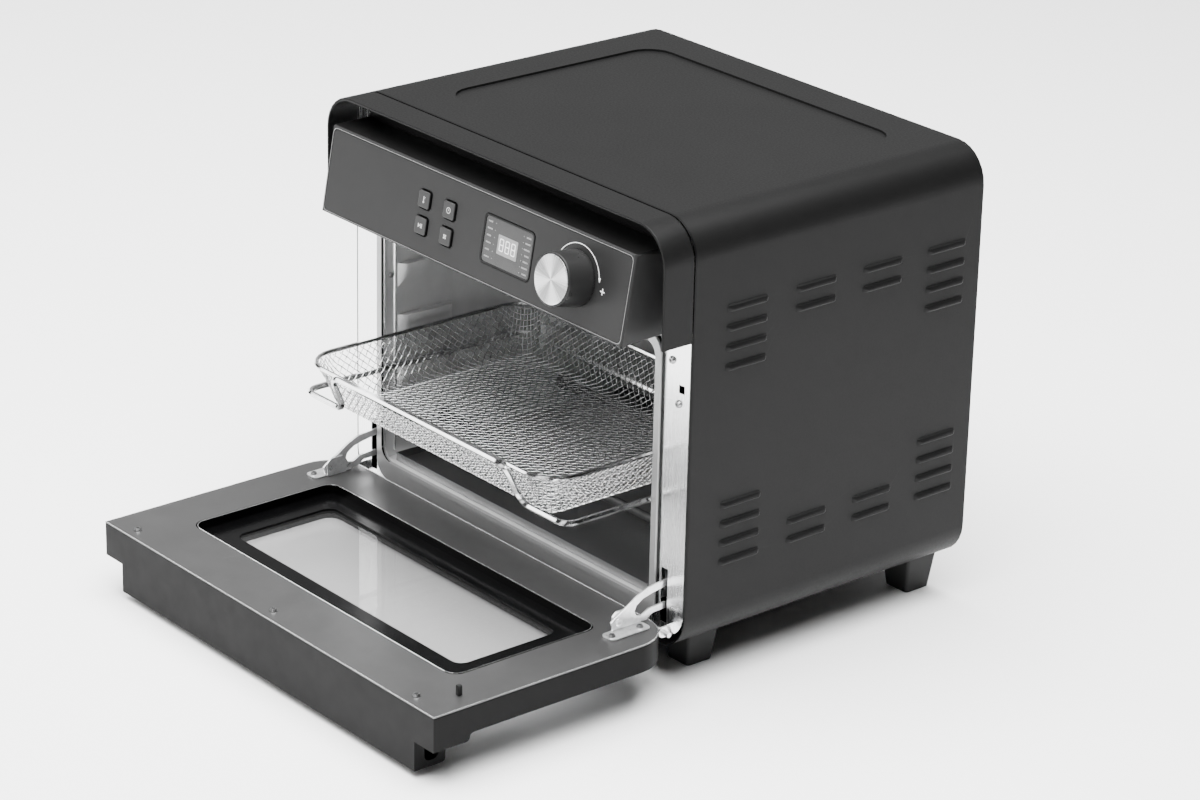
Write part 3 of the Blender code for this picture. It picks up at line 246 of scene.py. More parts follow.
def powder_coat():
    """Fine satin coat, with painted shade: black in the groove where the bezel meets the cover."""
    look = Look("charcoal_powder_coat", grey(13), 0.0, 0.40, Specular_IOR_Level=0.11)
    look.vary_colour(look.noise(0.055, 4), 0.93, 1.07)
    look.vary_roughness(look.noise(0.0016, 2), 0.42, 0.52)
    look.bump(look.noise(0.0009, 2), 0.000035)
    look.bump(look.noise(0.00028, 1), 0.00001)
    # painted shade: the coat goes black in a band about the seam plane, the groove where the bezel meets
    # the cover
    off = look.add("ShaderNodeMath", operation="ABSOLUTE")
    look.link(look.along((0.0, 1.0, 0.0), (0.0, SEAM_Y, 0.0)), off.inputs[0])
    look.darken(look.remap(off.outputs["Value"], 1.0, 0.0, SEAM_SHADE_HALF, SEAM_SHADE_HALF + EDGE_FADE), grey(1))
    return look.mat


def satin_look(name, level, roughness=0.42, grain=0.00035, shine=0.15):
    look = Look(name, grey(level), 0.0, roughness, Specular_IOR_Level=shine)
    look.vary_colour(look.noise(0.04, 3), 0.95, 1.05)
    look.vary_roughness(look.noise(0.012, 3), roughness - 0.04, roughness + 0.05)
    look.bump(look.noise(grain, 2), 0.000012)
    return look


def brushed_steel(name, level, along, roughness=0.24, grain=0.00022):
    """Brushed stainless; along is the axis that the scratches follow."""
    look = Look(name, grey(level, 0.004), 1.0, roughness)
    stretch = [1.0, 1.0, 1.0]
    stretch[along] = 160.0
    lines = look.noise(grain, 3, tuple(stretch))
    look.vary_colour(lines, 0.94, 1.03)
    look.vary_roughness(lines, roughness - 0.05, roughness + 0.09)
    look.bump(lines, 0.000006)
    look.bump(look.noise(0.030, 2), 0.00012, 0.35)
    return look.mat


def liner_steel():
    """Aluminised steel, darker on the flange round the mouth."""
    look = Look("aluminised_liner", grey(212), 0.6, 0.40)
    look.vary_colour(look.noise(0.035, 4), 0.88, 1.06)
    look.vary_roughness(look.noise(0.010, 4), 0.28, 0.42)
    look.bump(look.noise(0.0007, 2), 0.00001)
    look.bump(look.noise(0.050, 2), 0.0003, 0.3)
    flange = look.along((0.0, 1.0, 0.0), (0.0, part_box("oven_cavity")[0].y, 0.0))
    look.darken(look.remap(flange, 0.75, 0.0, *LINER_FLANGE), grey(118))
    return look.mat


def zinc_plate():
    look = Look("zinc_plate", grey(232, 0.006), 0.9, 0.34)
    look.vary_colour(look.cells(0.0035), 0.86, 1.04, 0.0, 0.7)
    look.vary_roughness(look.noise(0.004, 3), 0.26, 0.42)
    look.bump(look.noise(0.0012, 2), 0.00001)
    return look.mat


def door_sheet():
    look = Look("dark_satin_sheet", grey(82), 0.7, 0.36)
    lines = look.noise(0.0003, 2, (120.0, 1.0, 1.0))
    look.vary_colour(look.noise(0.05, 3), 0.93, 1.05)
    look.vary_roughness(look.noise(0.02, 3), 0.28, 0.38)
    look.bump(lines, 0.000004)
    return look.mat


def chrome(name, level):
    look = Look(name, grey(level, 0.004), 1.0, 0.14)
    look.vary_colour(look.noise(0.012, 3), 0.90, 1.03)
    look.vary_roughness(look.noise(0.004, 3), 0.10, 0.22)
    look.bump(look.noise(0.0016, 2), 0.00002, 0.5)
    return look.mat


def clear_glass():
    look = Look("clear_glass", grey(60), 0.0, 0.03, Alpha=0.22, Specular_IOR_Level=1.0)
    look.vary_colour(look.noise(0.05, 2), 0.9, 1.1)
    look.vary_roughness(look.noise(0.03, 3), 0.02, 0.06)
    return look.mat


def pale_pane_painted_light():
    """The outer pane, pale and part see-through: its pale colour is painted light, standing in for the
    bright floor seen through it.
    """
    # painted light: a pale grey that hides part of what is behind the pane
    look = Look("pale_glass_painted_light", grey(225), 0.0, 0.05, Alpha=0.45, Specular_IOR_Level=0.6)
    look.vary_roughness(look.noise(0.03, 3), 0.03, 0.08)
    look.vary_colour(look.noise(0.06, 2), 0.97, 1.02)
    return look.mat


def printed_glass():
    """The black border round the window's clear field."""
    look = Look("printed_glass", (0.0012, 0.0012, 0.0013), 0.0, 0.20, Specular_IOR_Level=0.08)
    look.vary_colour(look.noise(0.03, 2), 0.8, 1.2)
    look.vary_roughness(look.noise(0.02, 3), 0.16, 0.24)
    look.bump(look.noise(0.02, 2), 0.00004, 0.3)
    return look.mat


def heater_sheath():
    look = Look("heater_sheath", grey(70), 0.75, 0.5)
    look.vary_colour(look.noise(0.012, 4), 0.55, 1.35)
    look.vary_roughness(look.noise(0.006, 3), 0.38, 0.62)
    look.bump(look.noise(0.0008, 3), 0.00003)
    return look.mat


def rubbery(name, level):
    look = Look(name, grey(level), 0.0, 0.62, Specular_IOR_Level=0.2)
    look.vary_colour(look.noise(0.02, 3), 0.9, 1.1)
    look.bump(look.noise(0.0007, 3), 0.00004)
    return look.mat


def circuit_board():
    look = Look("circuit_board", (0.012, 0.075, 0.030), 0.0, 0.4)
    tracks = look.add("ShaderNodeTexBrick")
    look.link(look.stretched((160.0, 160.0, 160.0)), tracks.inputs["Vector"])
    tracks.inputs["Mortar Size"].default_value = 0.12
    tracks.inputs["Color1"].default_value = (0.012, 0.075, 0.030, 1.0)
    tracks.inputs["Color2"].default_value = (0.010, 0.060, 0.026, 1.0)
    tracks.inputs["Mortar"].default_value = (0.03, 0.14, 0.06, 1.0)
    look.link(tracks.outputs["Color"], look.shader.inputs["Base Color"])
    look.bump(look.noise(0.002, 2), 0.00005)
    return look.mat


def display_glass():
    look = Look("display_glass", grey(38), 0.0, 0.12, Specular_IOR_Level=0.5)
    look.vary_colour(look.noise(0.03, 2), 0.94, 1.08)
    look.vary_roughness(look.noise(0.01, 2), 0.08, 0.2)
    return look.mat


# the last two values set the lobes and the weight of the painted highlight fan on the knob's cap
CAP_STREAKS, CAP_HIGHLIGHT_LOBES, HIGHLIGHT_FAN_WEIGHT = 26.0, 4.0, 0.26


def spun_cap(centre, axis):
    """Radially brushed metal: the angle round the axis drives fine streaks of grain and a soft fan of
    painted highlight, both in the colour.
    """
    look = Look("spun_silver", grey(222, 0.004), 1.0, 0.26, Anisotropic=0.6)
    local = look.add("ShaderNodeVectorMath", operation="SUBTRACT")
    look.link(look.coords, local.inputs[0])
    local.inputs[1].default_value = centre
    turn = look.add("ShaderNodeVectorRotate", rotation_type="X_AXIS")
    look.link(local.outputs["Vector"], turn.inputs["Vector"])
    turn.inputs["Angle"].default_value = -math.atan2(-axis.y, axis.z)
    split = look.add("ShaderNodeSeparateXYZ")
    look.link(turn.outputs["Vector"], split.inputs["Vector"])
    angle = look.add("ShaderNodeMath", operation="ARCTAN2")
    look.link(split.outputs["Y"], angle.inputs[0])
    look.link(split.outputs["X"], angle.inputs[1])
    streaks = look.add("ShaderNodeTexNoise", noise_dimensions="1D")
    look.link(angle.outputs["Value"], streaks.inputs["W"])
    streaks.inputs["Scale"].default_value = CAP_STREAKS
    streaks.inputs["Detail"].default_value = 6.0
    fan = look.add("ShaderNodeMath", operation="SINE")
    times = look.add("ShaderNodeMath", operation="MULTIPLY")
    look.link(angle.outputs["Value"], times.inputs[0])
    times.inputs[1].default_value = CAP_HIGHLIGHT_LOBES
    look.link(times.outputs["Value"], fan.inputs[0])
    mixed = look.add("ShaderNodeMath", operation="MULTIPLY_ADD")
    look.link(fan.outputs["Value"], mixed.inputs[0])
    mixed.inputs[1].default_value = HIGHLIGHT_FAN_WEIGHT
    look.link(streaks.outputs["Fac"], mixed.inputs[2])
    look.vary_colour(mixed.outputs["Value"], 0.42, 1.2)
    look.vary_roughness(mixed.outputs["Value"], 0.2, 0.36)
    return look.mat


def shell_plastic():
    """The door's moulding, with painted shade: black in the gap where it meets the inner sheet."""
    look = satin_look("moulded_shell", 11, 0.44, 0.00035, 0.06)
    below = look.along((0.0, 0.0, 1.0), (0.0, 0.0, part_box("door_inner_sheet")[0].z))
    # painted shade: the moulding is black from just below the inner sheet upwards, the gap where they meet
    look.darken(look.remap(below, 0.0, 1.0, *SHEET_GAP_SHADE), grey(2))
    return look.mat


def panel_plastic():
    """Satin plastic, black above the face's upper edge and along its lower one."""
    look = satin_look("panel_plastic", 31, 0.38, 0.0003)
    up = look.along(FACE_UP, KNOB_AT)
    look.darken(look.remap(up, 0.0, 1.0, FACE_TOP - 0.0002, FACE_TOP + EDGE_FADE), grey(8))
    look.darken(look.remap(up, 1.0, 0.0, *(FACE_LOW + rise for rise in LOWER_EDGE)), grey(10))
    return look.mat


def key_plastic():
    """Key tops in the panel's grey, their sides painted black as shade."""
    look = satin_look("key_plastic", 46, 0.36)
    out = look.along(FACE_OUT, KNOB_AT)
    # painted shade: each key's sides, below its top, are black
    look.darken(look.remap(out, 1.0, 0.0, KEY_PROUD - 0.0008, KEY_PROUD - 0.0005), grey(6))
    return look.mat


def print_ink(name, level, roughness=0.5):
    look = Look(name, grey(level), 0.0, roughness)
    look.vary_colour(look.noise(0.0009, 3), 0.9, 1.05)
    look.bump(look.noise(0.0002, 2), 0.000005)
    return look.mat


# SEAM_Y is the cover's front; the second value is the half width of the painted shade in the groove there
SEAM_Y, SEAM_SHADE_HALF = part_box("outer_cover")[0].y, 0.0015
EDGE_FADE = 0.0003  # width over which a black edge fades out
# unit vectors out of the tilted control face and up it
FACE_OUT = Vector((0.0, -0.984939, 0.172905))
FACE_UP = Vector((0.0, 0.172905, 0.984939))
JOINTS = {joint["name"]: joint for joint in frame["record"]["behaviour"]["joints"]}
KNOB_AT = Vector(JOINTS["knob_turn"]["pos_m"])
FACE_LOW = -0.0327  # from the knob's centre down to the face's lower edge
FACE_TOP = FACE_LOW + 0.0648  # and up to its upper edge
FACE_CORNER = 0.0040
KEY_PROUD = 0.0016  # height of a key's top above the face
LINER_FLANGE = (0.0028, 0.0034)  # depth at which the liner's flange ends
SHEET_GAP_SHADE = (-0.0014, -0.0011)  # below the inner sheet, where the moulding's black band of painted shade begins
LOWER_EDGE = (0.0010, 0.0014)  # above the face's lower edge, where its black line ends

PAINT = powder_coat()
SHELL = shell_plastic()
PANEL = panel_plastic()
KEYS = key_plastic()
BLACK = satin_look("black_plastic", 28, 0.30).mat
GLOSS_BLACK = satin_look("gloss_black", 10, 0.15).mat
PRINT = print_ink("white_print", 232)
ICON_PRINT = print_ink("icon_print", 178)
FAINT_PRINT = print_ink("grey_print", 112)
LCD = print_ink("lcd_field", 120, 0.25)
SEGMENT = print_ink("lcd_segments", 225, 0.3)
BRIGHT = brushed_steel("bright_edge", 242, 0, 0.18)
FOOT = rubbery("foot_plastic", 34)
FRAME_STEEL = brushed_steel("brushed_frame", 246, 2, 0.22)
TRAY_STEEL = brushed_steel("brushed_tray", 128, 0, 0.36)
SCREW_STEEL = brushed_steel("screw_steel", 150, 0, 0.3)
LINER = liner_steel()
ZINC = zinc_plate()
DOOR_SHEET = door_sheet()
CHROME = chrome("chromed_rod", 216)
WEAVE = chrome("woven_wire", 190)
GLASS = clear_glass()
MASK = printed_glass()
HEATER = heater_sheath()
BOARD = circuit_board()
DISPLAY = display_glass()
PALE_PANE = pale_pane_painted_light()

# ---------------------------------------------------------------- helpers for shapes


def add_piece(name, bm, mat, body, smooth):
    """Turn a bmesh into a piece that rides on a body; smooth is the sharpest smoothed angle, 0 for flat."""
    bmesh.ops.recalc_face_normals(bm, faces=bm.faces)
    mesh = bpy.data.meshes.new(name)
    bm.to_mesh(mesh)
    bm.free()
    ob = bpy.data.objects.new(name, mesh)
    bpy.context.scene.collection.objects.link(ob)
    mesh.materials.append(mat)
    if smooth:
        mesh.shade_smooth()
        mesh.set_sharp_from_angle(angle=math.radians(smooth))
    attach(ob, body)
    return ob


def node_group(name, build):
    """A geometry node group with one geometry input and output."""
    group = bpy.data.node_groups.new(name, "GeometryNodeTree")
    group.interface.new_socket("Geometry", in_out="INPUT", socket_type="NodeSocketGeometry")
    group.interface.new_socket("Geometry", in_out="OUTPUT", socket_type="NodeSocketGeometry")
    start, end = group.nodes.new("NodeGroupInput"), group.nodes.new("NodeGroupOutput")
    group.links.new(build(group, start.outputs["Geometry"]), end.inputs["Geometry"])
    return group


def weld_nodes(group, geometry):
    """Join the triangles' corners and forget the faceted normals that they came with."""
    merge = group.nodes.new("GeometryNodeMergeByDistance")
    merge.inputs["Distance"].default_value = 0.00001
    group.links.new(geometry, merge.inputs["Geometry"])
    drop = group.nodes.new("GeometryNodeRemoveAttribute")
    drop.inputs["Name"].default_value = "custom_normal"
    group.links.new(merge.outputs["Geometry"], drop.inputs["Geometry"])
    return drop.outputs["Geometry"]


SHARP = 32  # degrees between two faces above which their edge stays sharp


def smooth_nodes(group, geometry):
    """Smooth shading, except at the sharp edges."""
    faces = group.nodes.new("GeometryNodeSetShadeSmooth")
    group.links.new(geometry, faces.inputs["Geometry"])
    faces.inputs["Shade Smooth"].default_value = True
    angle = group.nodes.new("GeometryNodeInputMeshEdgeAngle")
    test = group.nodes.new("FunctionNodeCompare")
    test.operation = "LESS_THAN"
    group.links.new(angle.outputs["Unsigned Angle"], test.inputs["A"])
    test.inputs["B"].default_value = math.radians(SHARP)
    edges = group.nodes.new("GeometryNodeSetShadeSmooth")
    edges.domain = "EDGE"
    group.links.new(faces.outputs["Geometry"], edges.inputs["Geometry"])
    group.links.new(test.outputs["Result"], edges.inputs["Shade Smooth"])
    return edges.outputs["Geometry"]


WELD = node_group("weld_corners", weld_nodes)
SMOOTH = node_group("smooth_by_angle", smooth_nodes)


BEVEL_SEGMENTS, BEVEL_ANGLE = 2, 30.0


def dress(name, mat, bevel=0.0):
    """Give a CAD node its material, smooth shading and, if asked, softened edges."""
    ob = nodes[name]
    ob.material_slots[0].link = "OBJECT"
    ob.material_slots[0].material = mat
    ob.modifiers.new("weld", "NODES").node_group = WELD
    if bevel:
        mod = ob.modifiers.new("soft_edges", "BEVEL")
        mod.width = bevel
        mod.segments = BEVEL_SEGMENTS
        mod.limit_method = "ANGLE"
        mod.angle_limit = math.radians(BEVEL_ANGLE)
    ob.modifiers.new("smooth", "NODES").node_group = SMOOTH
    ob.modifiers.new("flat_faces_first", "WEIGHTED_NORMAL").keep_sharp = True


# width of the softened edges, on the nodes that have them
SOFT_EDGES = {"cord_inlet": 0.0005, "door_switch": 0.0004, "crumb_tray": 0.0002, "fan_motor": 0.0006,
              "foot_front_right": 0.0008, "foot_front_left": 0.0008, "foot_rear_right": 0.0008,
              "foot_rear_left": 0.0008, "door_inner_glass": 0.0004, "door_outer_glass": 0.0004}


def dress_all():
    looks = {
        PAINT: ("base_plate", "front_bezel", "rear_panel", "outer_cover"),
        SHELL: ("door_shell",),
        PANEL: ("control_panel",),
        KEYS: ("button_mode_lower", "button_mode_upper", "button_time_lower", "button_time_upper"),
        BLACK: ("control_knob", "cord_inlet", "door_switch_peg", "door_switch"),
        FOOT: ("foot_front_right", "foot_front_left", "foot_rear_right", "foot_rear_left"),
        FRAME_STEEL: ("front_frame",),
        TRAY_STEEL: ("crumb_tray", "fan_guard"),
        ZINC: ("fan_motor", "convection_fan", "rotary_encoder", "hinge_arm_right", "hinge_arm_left",
               "hinge_bracket_right", "hinge_bracket_left", "hinge_pin_right", "hinge_pin_left"),
        LINER: ("oven_cavity",),
        DOOR_SHEET: ("door_inner_sheet",),
        GLASS: ("door_inner_glass",),
        PALE_PANE: ("door_outer_glass",),
        MASK: ("door_window_mask",),
        HEATER: ("heater_lower_front", "heater_lower_rear", "heater_upper"),
        BOARD: ("control_board", "power_board"),
        DISPLAY: ("display_window", "display_module"),
        CHROME: ("basket_frame", "basket_rim"),
    }
    for mat, names in looks.items():
        for name in names:
            dress(name, mat, SOFT_EDGES.get(name, 0.0))
    for name in nodes:
        if "_screw_" in name:
            dress(name, SCREW_STEEL)
    low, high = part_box("knob_cap")
    dress("knob_cap", spun_cap((low + high) / 2, FACE_OUT))


# ---------------------------------------------------------------- basket

RIM_CORNER = 0.026
WIRE_PITCH = 0.0045
WIRE_R = 0.00036
WALL = ((0.0070, 0.0), (0.0124, 0.0050), (0.0170, 0.0168), (0.0252, 0.0322))  # reach out, height
WALL_RUN_ON = (0.003, 0.006)  # beyond the last knot, the direction in which the wall goes on
MESH_MARGIN = 0.0005
SLOPE_STEP = 0.0004  # distance over which the wall's slope is measured
RIM_SLOPE = 1.2  # radians, within a step of the rim
CENTRAL = 1e-9  # closer to the flat floor than this counts as on it


def wall_table(steps=40):
    """Arc length, reach and height along the pressed wall, as one smooth curve from floor to rim."""
    knots = [(0.0, 0.0), *WALL, tuple(end + more for end, more in zip(WALL[-1], WALL_RUN_ON))]
    table = [(0.0, 0.0, 0.0)]
    length = 0.0
    last = knots[0]
    for k in range(1, len(knots) - 1):
        before, start, end, after = knots[max(k - 2, 0)], knots[k - 1], knots[k], knots[k + 1]
        for step in range(1, steps + 1):
            t = step / steps
            spot = []
            for axis in range(2):
                p0, p1, p2, p3 = before[axis], start[axis], end[axis], after[axis]
                spot.append(0.5 * (2 * p1 + (p2 - p0) * t + (2 * p0 - 5 * p1 + 4 * p2 - p3) * t * t
                                   + (3 * p1 - p0 - 3 * p2 + p3) * t ** 3))
            length += math.hypot(spot[0] - last[0], spot[1] - last[1])
            last = spot
            table.append((length, spot[0], spot[1]))
    return np.array(table)


def tube_into(bm, points, radius, sides=5, closed=False):
    """Sweep a small polygon along a line of points."""
    rings = []
    count = len(points)
    up = Vector((0.0, 0.0, 1.0))
    for k, p in enumerate(points):
        if closed:
            ahead = (points[(k + 1) % count] - points[k - 1]).normalized()
        else:
            ahead = (points[min(k + 1, count - 1)] - points[max(k - 1, 0)]).normalized()
        side = ahead.cross(up)
        side = side.normalized() if side.length > 0.02 else Vector((1.0, 0.0, 0.0))
        over = side.cross(ahead).normalized()
        ring = []
        for s in range(sides):
            a = 2 * math.pi * s / sides
            ring.append(bm.verts.new(p + side * (radius * math.cos(a)) + over * (radius * math.sin(a))))
        rings.append(ring)
    pairs = list(zip(rings, rings[1:]))
    if closed:
        pairs.append((rings[-1], rings[0]))
    else:
        bm.faces.new(rings[0])
        bm.faces.new(rings[-1])
    for a, b in pairs:
        for s in range(sides):
            t = (s + 1) % sides
            bm.faces.new((a[s], a[t], b[t], b[s]))


def make_basket_mesh():
    """Wires woven at 45 degrees as a flat sheet, then folded up round the floor."""
    low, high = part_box("basket_mesh")
    centre = (low + high) / 2
    core_x = (high.x - low.x) / 2 + MESH_MARGIN - RIM_CORNER
    core_y = (high.y - low.y) / 2 + MESH_MARGIN - RIM_CORNER
    floor_z = low.z + WIRE_R * 2
    table = wall_table()
    edge = float(table[-1][0])

    def place(u, v, lift):
        """Point of the folded sheet; lift is the distance along its outward normal."""
        nearest_u, nearest_v = min(max(u, -core_x), core_x), min(max(v, -core_y), core_y)
        du, dv = u - nearest_u, v - nearest_v
        far = math.hypot(du, dv)
        if far > edge:
            return None
        if far < CENTRAL:
            return Vector((centre.x + u, centre.y + v, floor_z - lift))
        reach = float(np.interp(far, table[:, 0], table[:, 1]))
        height = float(np.interp(far, table[:, 0], table[:, 2]))
        next_reach = float(np.interp(far + SLOPE_STEP, table[:, 0], table[:, 1]))
        next_height = float(np.interp(far + SLOPE_STEP, table[:, 0], table[:, 2]))
        slope = RIM_SLOPE
        if far < edge - MESH_MARGIN:
            slope = math.atan2(next_height - height, max(next_reach - reach, 1e-7))
        reach += lift * math.sin(slope)
        height -= lift * math.cos(slope)
        return Vector((centre.x + nearest_u + du / far * reach, centre.y + nearest_v + dv / far * reach,
                       floor_z + height))

    bm = bmesh.new()
    span = math.hypot(core_x + edge, core_y + edge)
    lanes = int(span / WIRE_PITCH)
    half = WIRE_PITCH / 2
    for family in (1, -1):
        for lane in range(-lanes, lanes + 1):
            run = []
            for k in range(-2 * lanes, 2 * lanes + 1):
                along, across = k * half, lane * WIRE_PITCH
                u = (along + across * family) / math.sqrt(2)
                v = (along * family - across) / math.sqrt(2)
                weave = math.cos(math.pi * (k / 2 + lane)) * WIRE_R * family
                spot = place(u, v, weave)
                if spot is not None:
                    run.append(spot)
                    continue
                if len(run) > 2:
                    tube_into(bm, run, WIRE_R)
                run = []
            if len(run) > 2:
                tube_into(bm, run, WIRE_R)
    ob = add_piece("basket_weave", bm, WEAVE, "basket", 0)
    ob.data.shade_smooth()
    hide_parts("basket_mesh")


# ---------------------------------------------------------------- printed and trimmed details


def face_centre(name):
    """Middle of a control, as x and the distance up the face, from the knob's centre."""
    low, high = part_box(name)
    middle = (low + high) / 2 - KNOB_AT
    return middle.x, middle.dot(FACE_UP)


def on_face(x, up, out):
    return KNOB_AT + Vector((x, 0.0, 0.0)) + FACE_UP * up + FACE_OUT * out


INK = 0.00006  # thickness of a print
PRINT_LIFT = 0.00001  # from a surface to the back of the print on it


def slab_into(bm, outline, out, thick=INK):
    """A thin print on the tilted face: outline in (x, up), its back at the height out."""
    back = [bm.verts.new(on_face(x, up, out)) for x, up in outline]
    front = [bm.verts.new(on_face(x, up, out + thick)) for x, up in outline]
    bm.faces.new(back)
    bm.faces.new(front)
    for k in range(len(outline)):
        j = (k + 1) % len(outline)
        bm.faces.new((back[k], back[j], front[j], front[k]))


def disc(cx, cy, radius, steps=20):
    return [(cx + radius * math.cos(2 * math.pi * k / steps),
             cy + radius * math.sin(2 * math.pi * k / steps)) for k in range(steps)]


def bar(x0, y0, x1, y1, width):
    """Rectangle along a line."""
    dx, dy = x1 - x0, y1 - y0
    length = math.hypot(dx, dy)
    nx, ny = -dy / length * width / 2, dx / length * width / 2
    return [(x0 + nx, y0 + ny), (x0 - nx, y0 - ny), (x1 - nx, y1 - ny), (x1 + nx, y1 + ny)]


def band(cx, cy, radius, width, first, last, steps=28):
    """Strips that make up an arc, angles in degrees."""
    strips = []
    for k in range(steps):
        a, b = (math.radians(first + (last - first) * n / steps) for n in (k, k + 1))
        inner, outer = radius - width / 2, radius + width / 2
        strips.append([(cx + inner * math.cos(a), cy + inner * math.sin(a)),
                       (cx + outer * math.cos(a), cy + outer * math.sin(a)),
                       (cx + outer * math.cos(b), cy + outer * math.sin(b)),
                       (cx + inner * math.cos(b), cy + inner * math.sin(b))])
    return strips


def rounded_outline(x0, x1, y0, y1, radius, steps=5):
    points = []
    corners = ((x1 - radius, y1 - radius), (x0 + radius, y1 - radius), (x0 + radius, y0 + radius),
               (x1 - radius, y0 + radius))
    for k, (cx, cy) in enumerate(corners):
        for s in range(steps + 1):
            a = math.radians(90 * k + 90 * s / steps)
            points.append((cx + radius * math.cos(a), cy + radius * math.sin(a)))
    return points


def make_print(name, outlines, out, mat, body):
    bm = bmesh.new()
    for outline in outlines:
        slab_into(bm, outline, out)
    ob = add_piece(name, bm, mat, body, 0)


def thermometer(x, y):
    return [disc(x, y - 0.0017, 0.00085), bar(x, y - 0.0016, x, y + 0.0022, 0.0007),
            disc(x, y + 0.0022, 0.00035, 12), bar(x + 0.0008, y + 0.0019, x + 0.0017, y + 0.0019, 0.0003),
            bar(x + 0.0008, y + 0.0010, x + 0.0014, y + 0.0010, 0.0003)]


def clock(x, y):
    return band(x, y, 0.0020, 0.00045, 0, 360) + [bar(x, y - 0.0001, x, y + 0.0012, 0.0004),
                                                  bar(x - 0.0001, y, x + 0.0009, y, 0.0004)]


def play_pause(x, y):
    return [[(x - 0.0022, y - 0.0016), (x + 0.0002, y), (x - 0.0022, y + 0.0016)],
            bar(x + 0.0008, y - 0.0016, x + 0.0008, y + 0.0016, 0.0006),
            bar(x + 0.0019, y - 0.0016, x + 0.0019, y + 0.0016, 0.0006)]


def fan_mark(x, y):
    parts = [disc(x, y, 0.00045, 12)]
    for k in range(4):
        a = math.radians(45 + 90 * k)
        parts.append(disc(x + 0.00125 * math.cos(a), y + 0.00125 * math.sin(a), 0.0007, 12))
    return parts


def make_icons():
    marks = {"button_mode_upper": thermometer, "button_time_upper": clock,
             "button_mode_lower": play_pause, "button_time_lower": fan_mark}
    for name, mark in marks.items():
        x, up = face_centre(name)
        out = KEY_PROUD + PRINT_LIFT
        make_print(name + "_icon", mark(x, up), out, ICON_PRINT, name + "_key")


# ends of a digit's bars as x0, y0, x1, y1, with x from 0 to 1 and y from -1 to 1
SEGMENTS = ((0, 1, 1, 1), (0, 0, 1, 0), (0, -1, 1, -1), (0, 0, 0, 1), (1, 0, 1, 1), (0, -1, 0, 0),
            (1, -1, 1, 0))


WINDOW_OUT = -0.0002  # front of the display's glass, from the face
WINDOW_HALF_H, WINDOW_RIM_HALF = 0.0170, 0.0006
DIGIT_PITCH, DIGIT_HALF_W, DIGIT_HALF_H = 0.0064, 0.0019, 0.0021
DIGIT_STROKE, DIGIT_NOTCH, DIGIT_REACH = 0.0007, 0.0003, 0.98
MARK_X, MARK_STROKE, DOT_R = 0.0235, 0.0011, 0.00035
# side, first row above the middle, pitch, length, step in length, how many lengths, dot's x, rows
MARK_COLUMNS = ((-1, 0.0128, 0.0050, 0.0046, 0.0008, 2, 0.0150, 6),
                (1, 0.0122, 0.0043, 0.0048, 0.0007, 3, 0.0158, 7))


def frame_strips(outer, inner):
    """Quads that fill the gap between two outlines of the same number of points."""
    count = len(outer)
    return [[outer[k], outer[(k + 1) % count], inner[(k + 1) % count], inner[k]] for k in range(count)]


def digit_bars(x, up):
    """The seven bars of one digit."""
    bars = []
    for x0, y0, x1, y1 in SEGMENTS:
        notch = DIGIT_NOTCH if y0 == y1 else 0.0
        bars.append(bar(x + (2 * x0 - 1) * DIGIT_HALF_W + notch, up + y0 * 2 * DIGIT_HALF_H * DIGIT_REACH,
                        x + (2 * x1 - 1) * DIGIT_HALF_W - notch, up + y1 * 2 * DIGIT_HALF_H * DIGIT_REACH,
                        DIGIT_STROKE))
    return bars


def make_display():
    """The window's dark rim, its lit field with three digits, and a column of marks on each side."""
    x, up = face_centre("display_window")
    low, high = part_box("display_window")
    half_w = (high.x - low.x) / 2
    outer, inner = (rounded_outline(x - half_w - w, x + half_w + w, up - WINDOW_HALF_H - w,
                                    up + WINDOW_HALF_H + w, radius)
                    for w, radius in ((WINDOW_RIM_HALF, 0.0038), (-WINDOW_RIM_HALF, 0.0030)))
    bm = bmesh.new()
    for quad in frame_strips(outer, inner):
        slab_into(bm, quad, 0.00002, 0.00025)
    add_piece("display_rim", bm, GLOSS_BLACK, "oven", 0)

    lcd = rounded_outline(x - 0.0107, x + 0.0107, up - 0.0074, up + 0.0064, 0.0006)
    make_print("display_lcd", [lcd], WINDOW_OUT + PRINT_LIFT, LCD, "oven")
    digits = []
    for k in range(3):
        digits += digit_bars(x - DIGIT_PITCH + DIGIT_PITCH * k, up - 0.0004)
    make_print("display_digits", digits, WINDOW_OUT + PRINT_LIFT + 0.00007, SEGMENT, "oven")
    marks = []
    for side, first, pitch, length, growth, cycle, dot_x, rows in MARK_COLUMNS:
        for k in range(rows):
            row = up + first - pitch * k
            end, tip = x + side * MARK_X, x + side * (MARK_X - length - growth * (k % cycle))
            marks.append(bar(min(end, tip), row, max(end, tip), row, MARK_STROKE))
            marks.append(disc(x + side * dot_x, row, DOT_R, 10))
    make_print("display_marks", marks, WINDOW_OUT + PRINT_LIFT, FAINT_PRINT, "oven")


DIAL_R, DIAL_STROKE, DIAL_FROM, DIAL_TO = 0.0240, 0.00055, 143, 15  # radius, and angles in degrees
PLUS_AT, PLUS_HALF, PLUS_STROKE = (0.0280, -0.0015), 0.0022, 0.0008


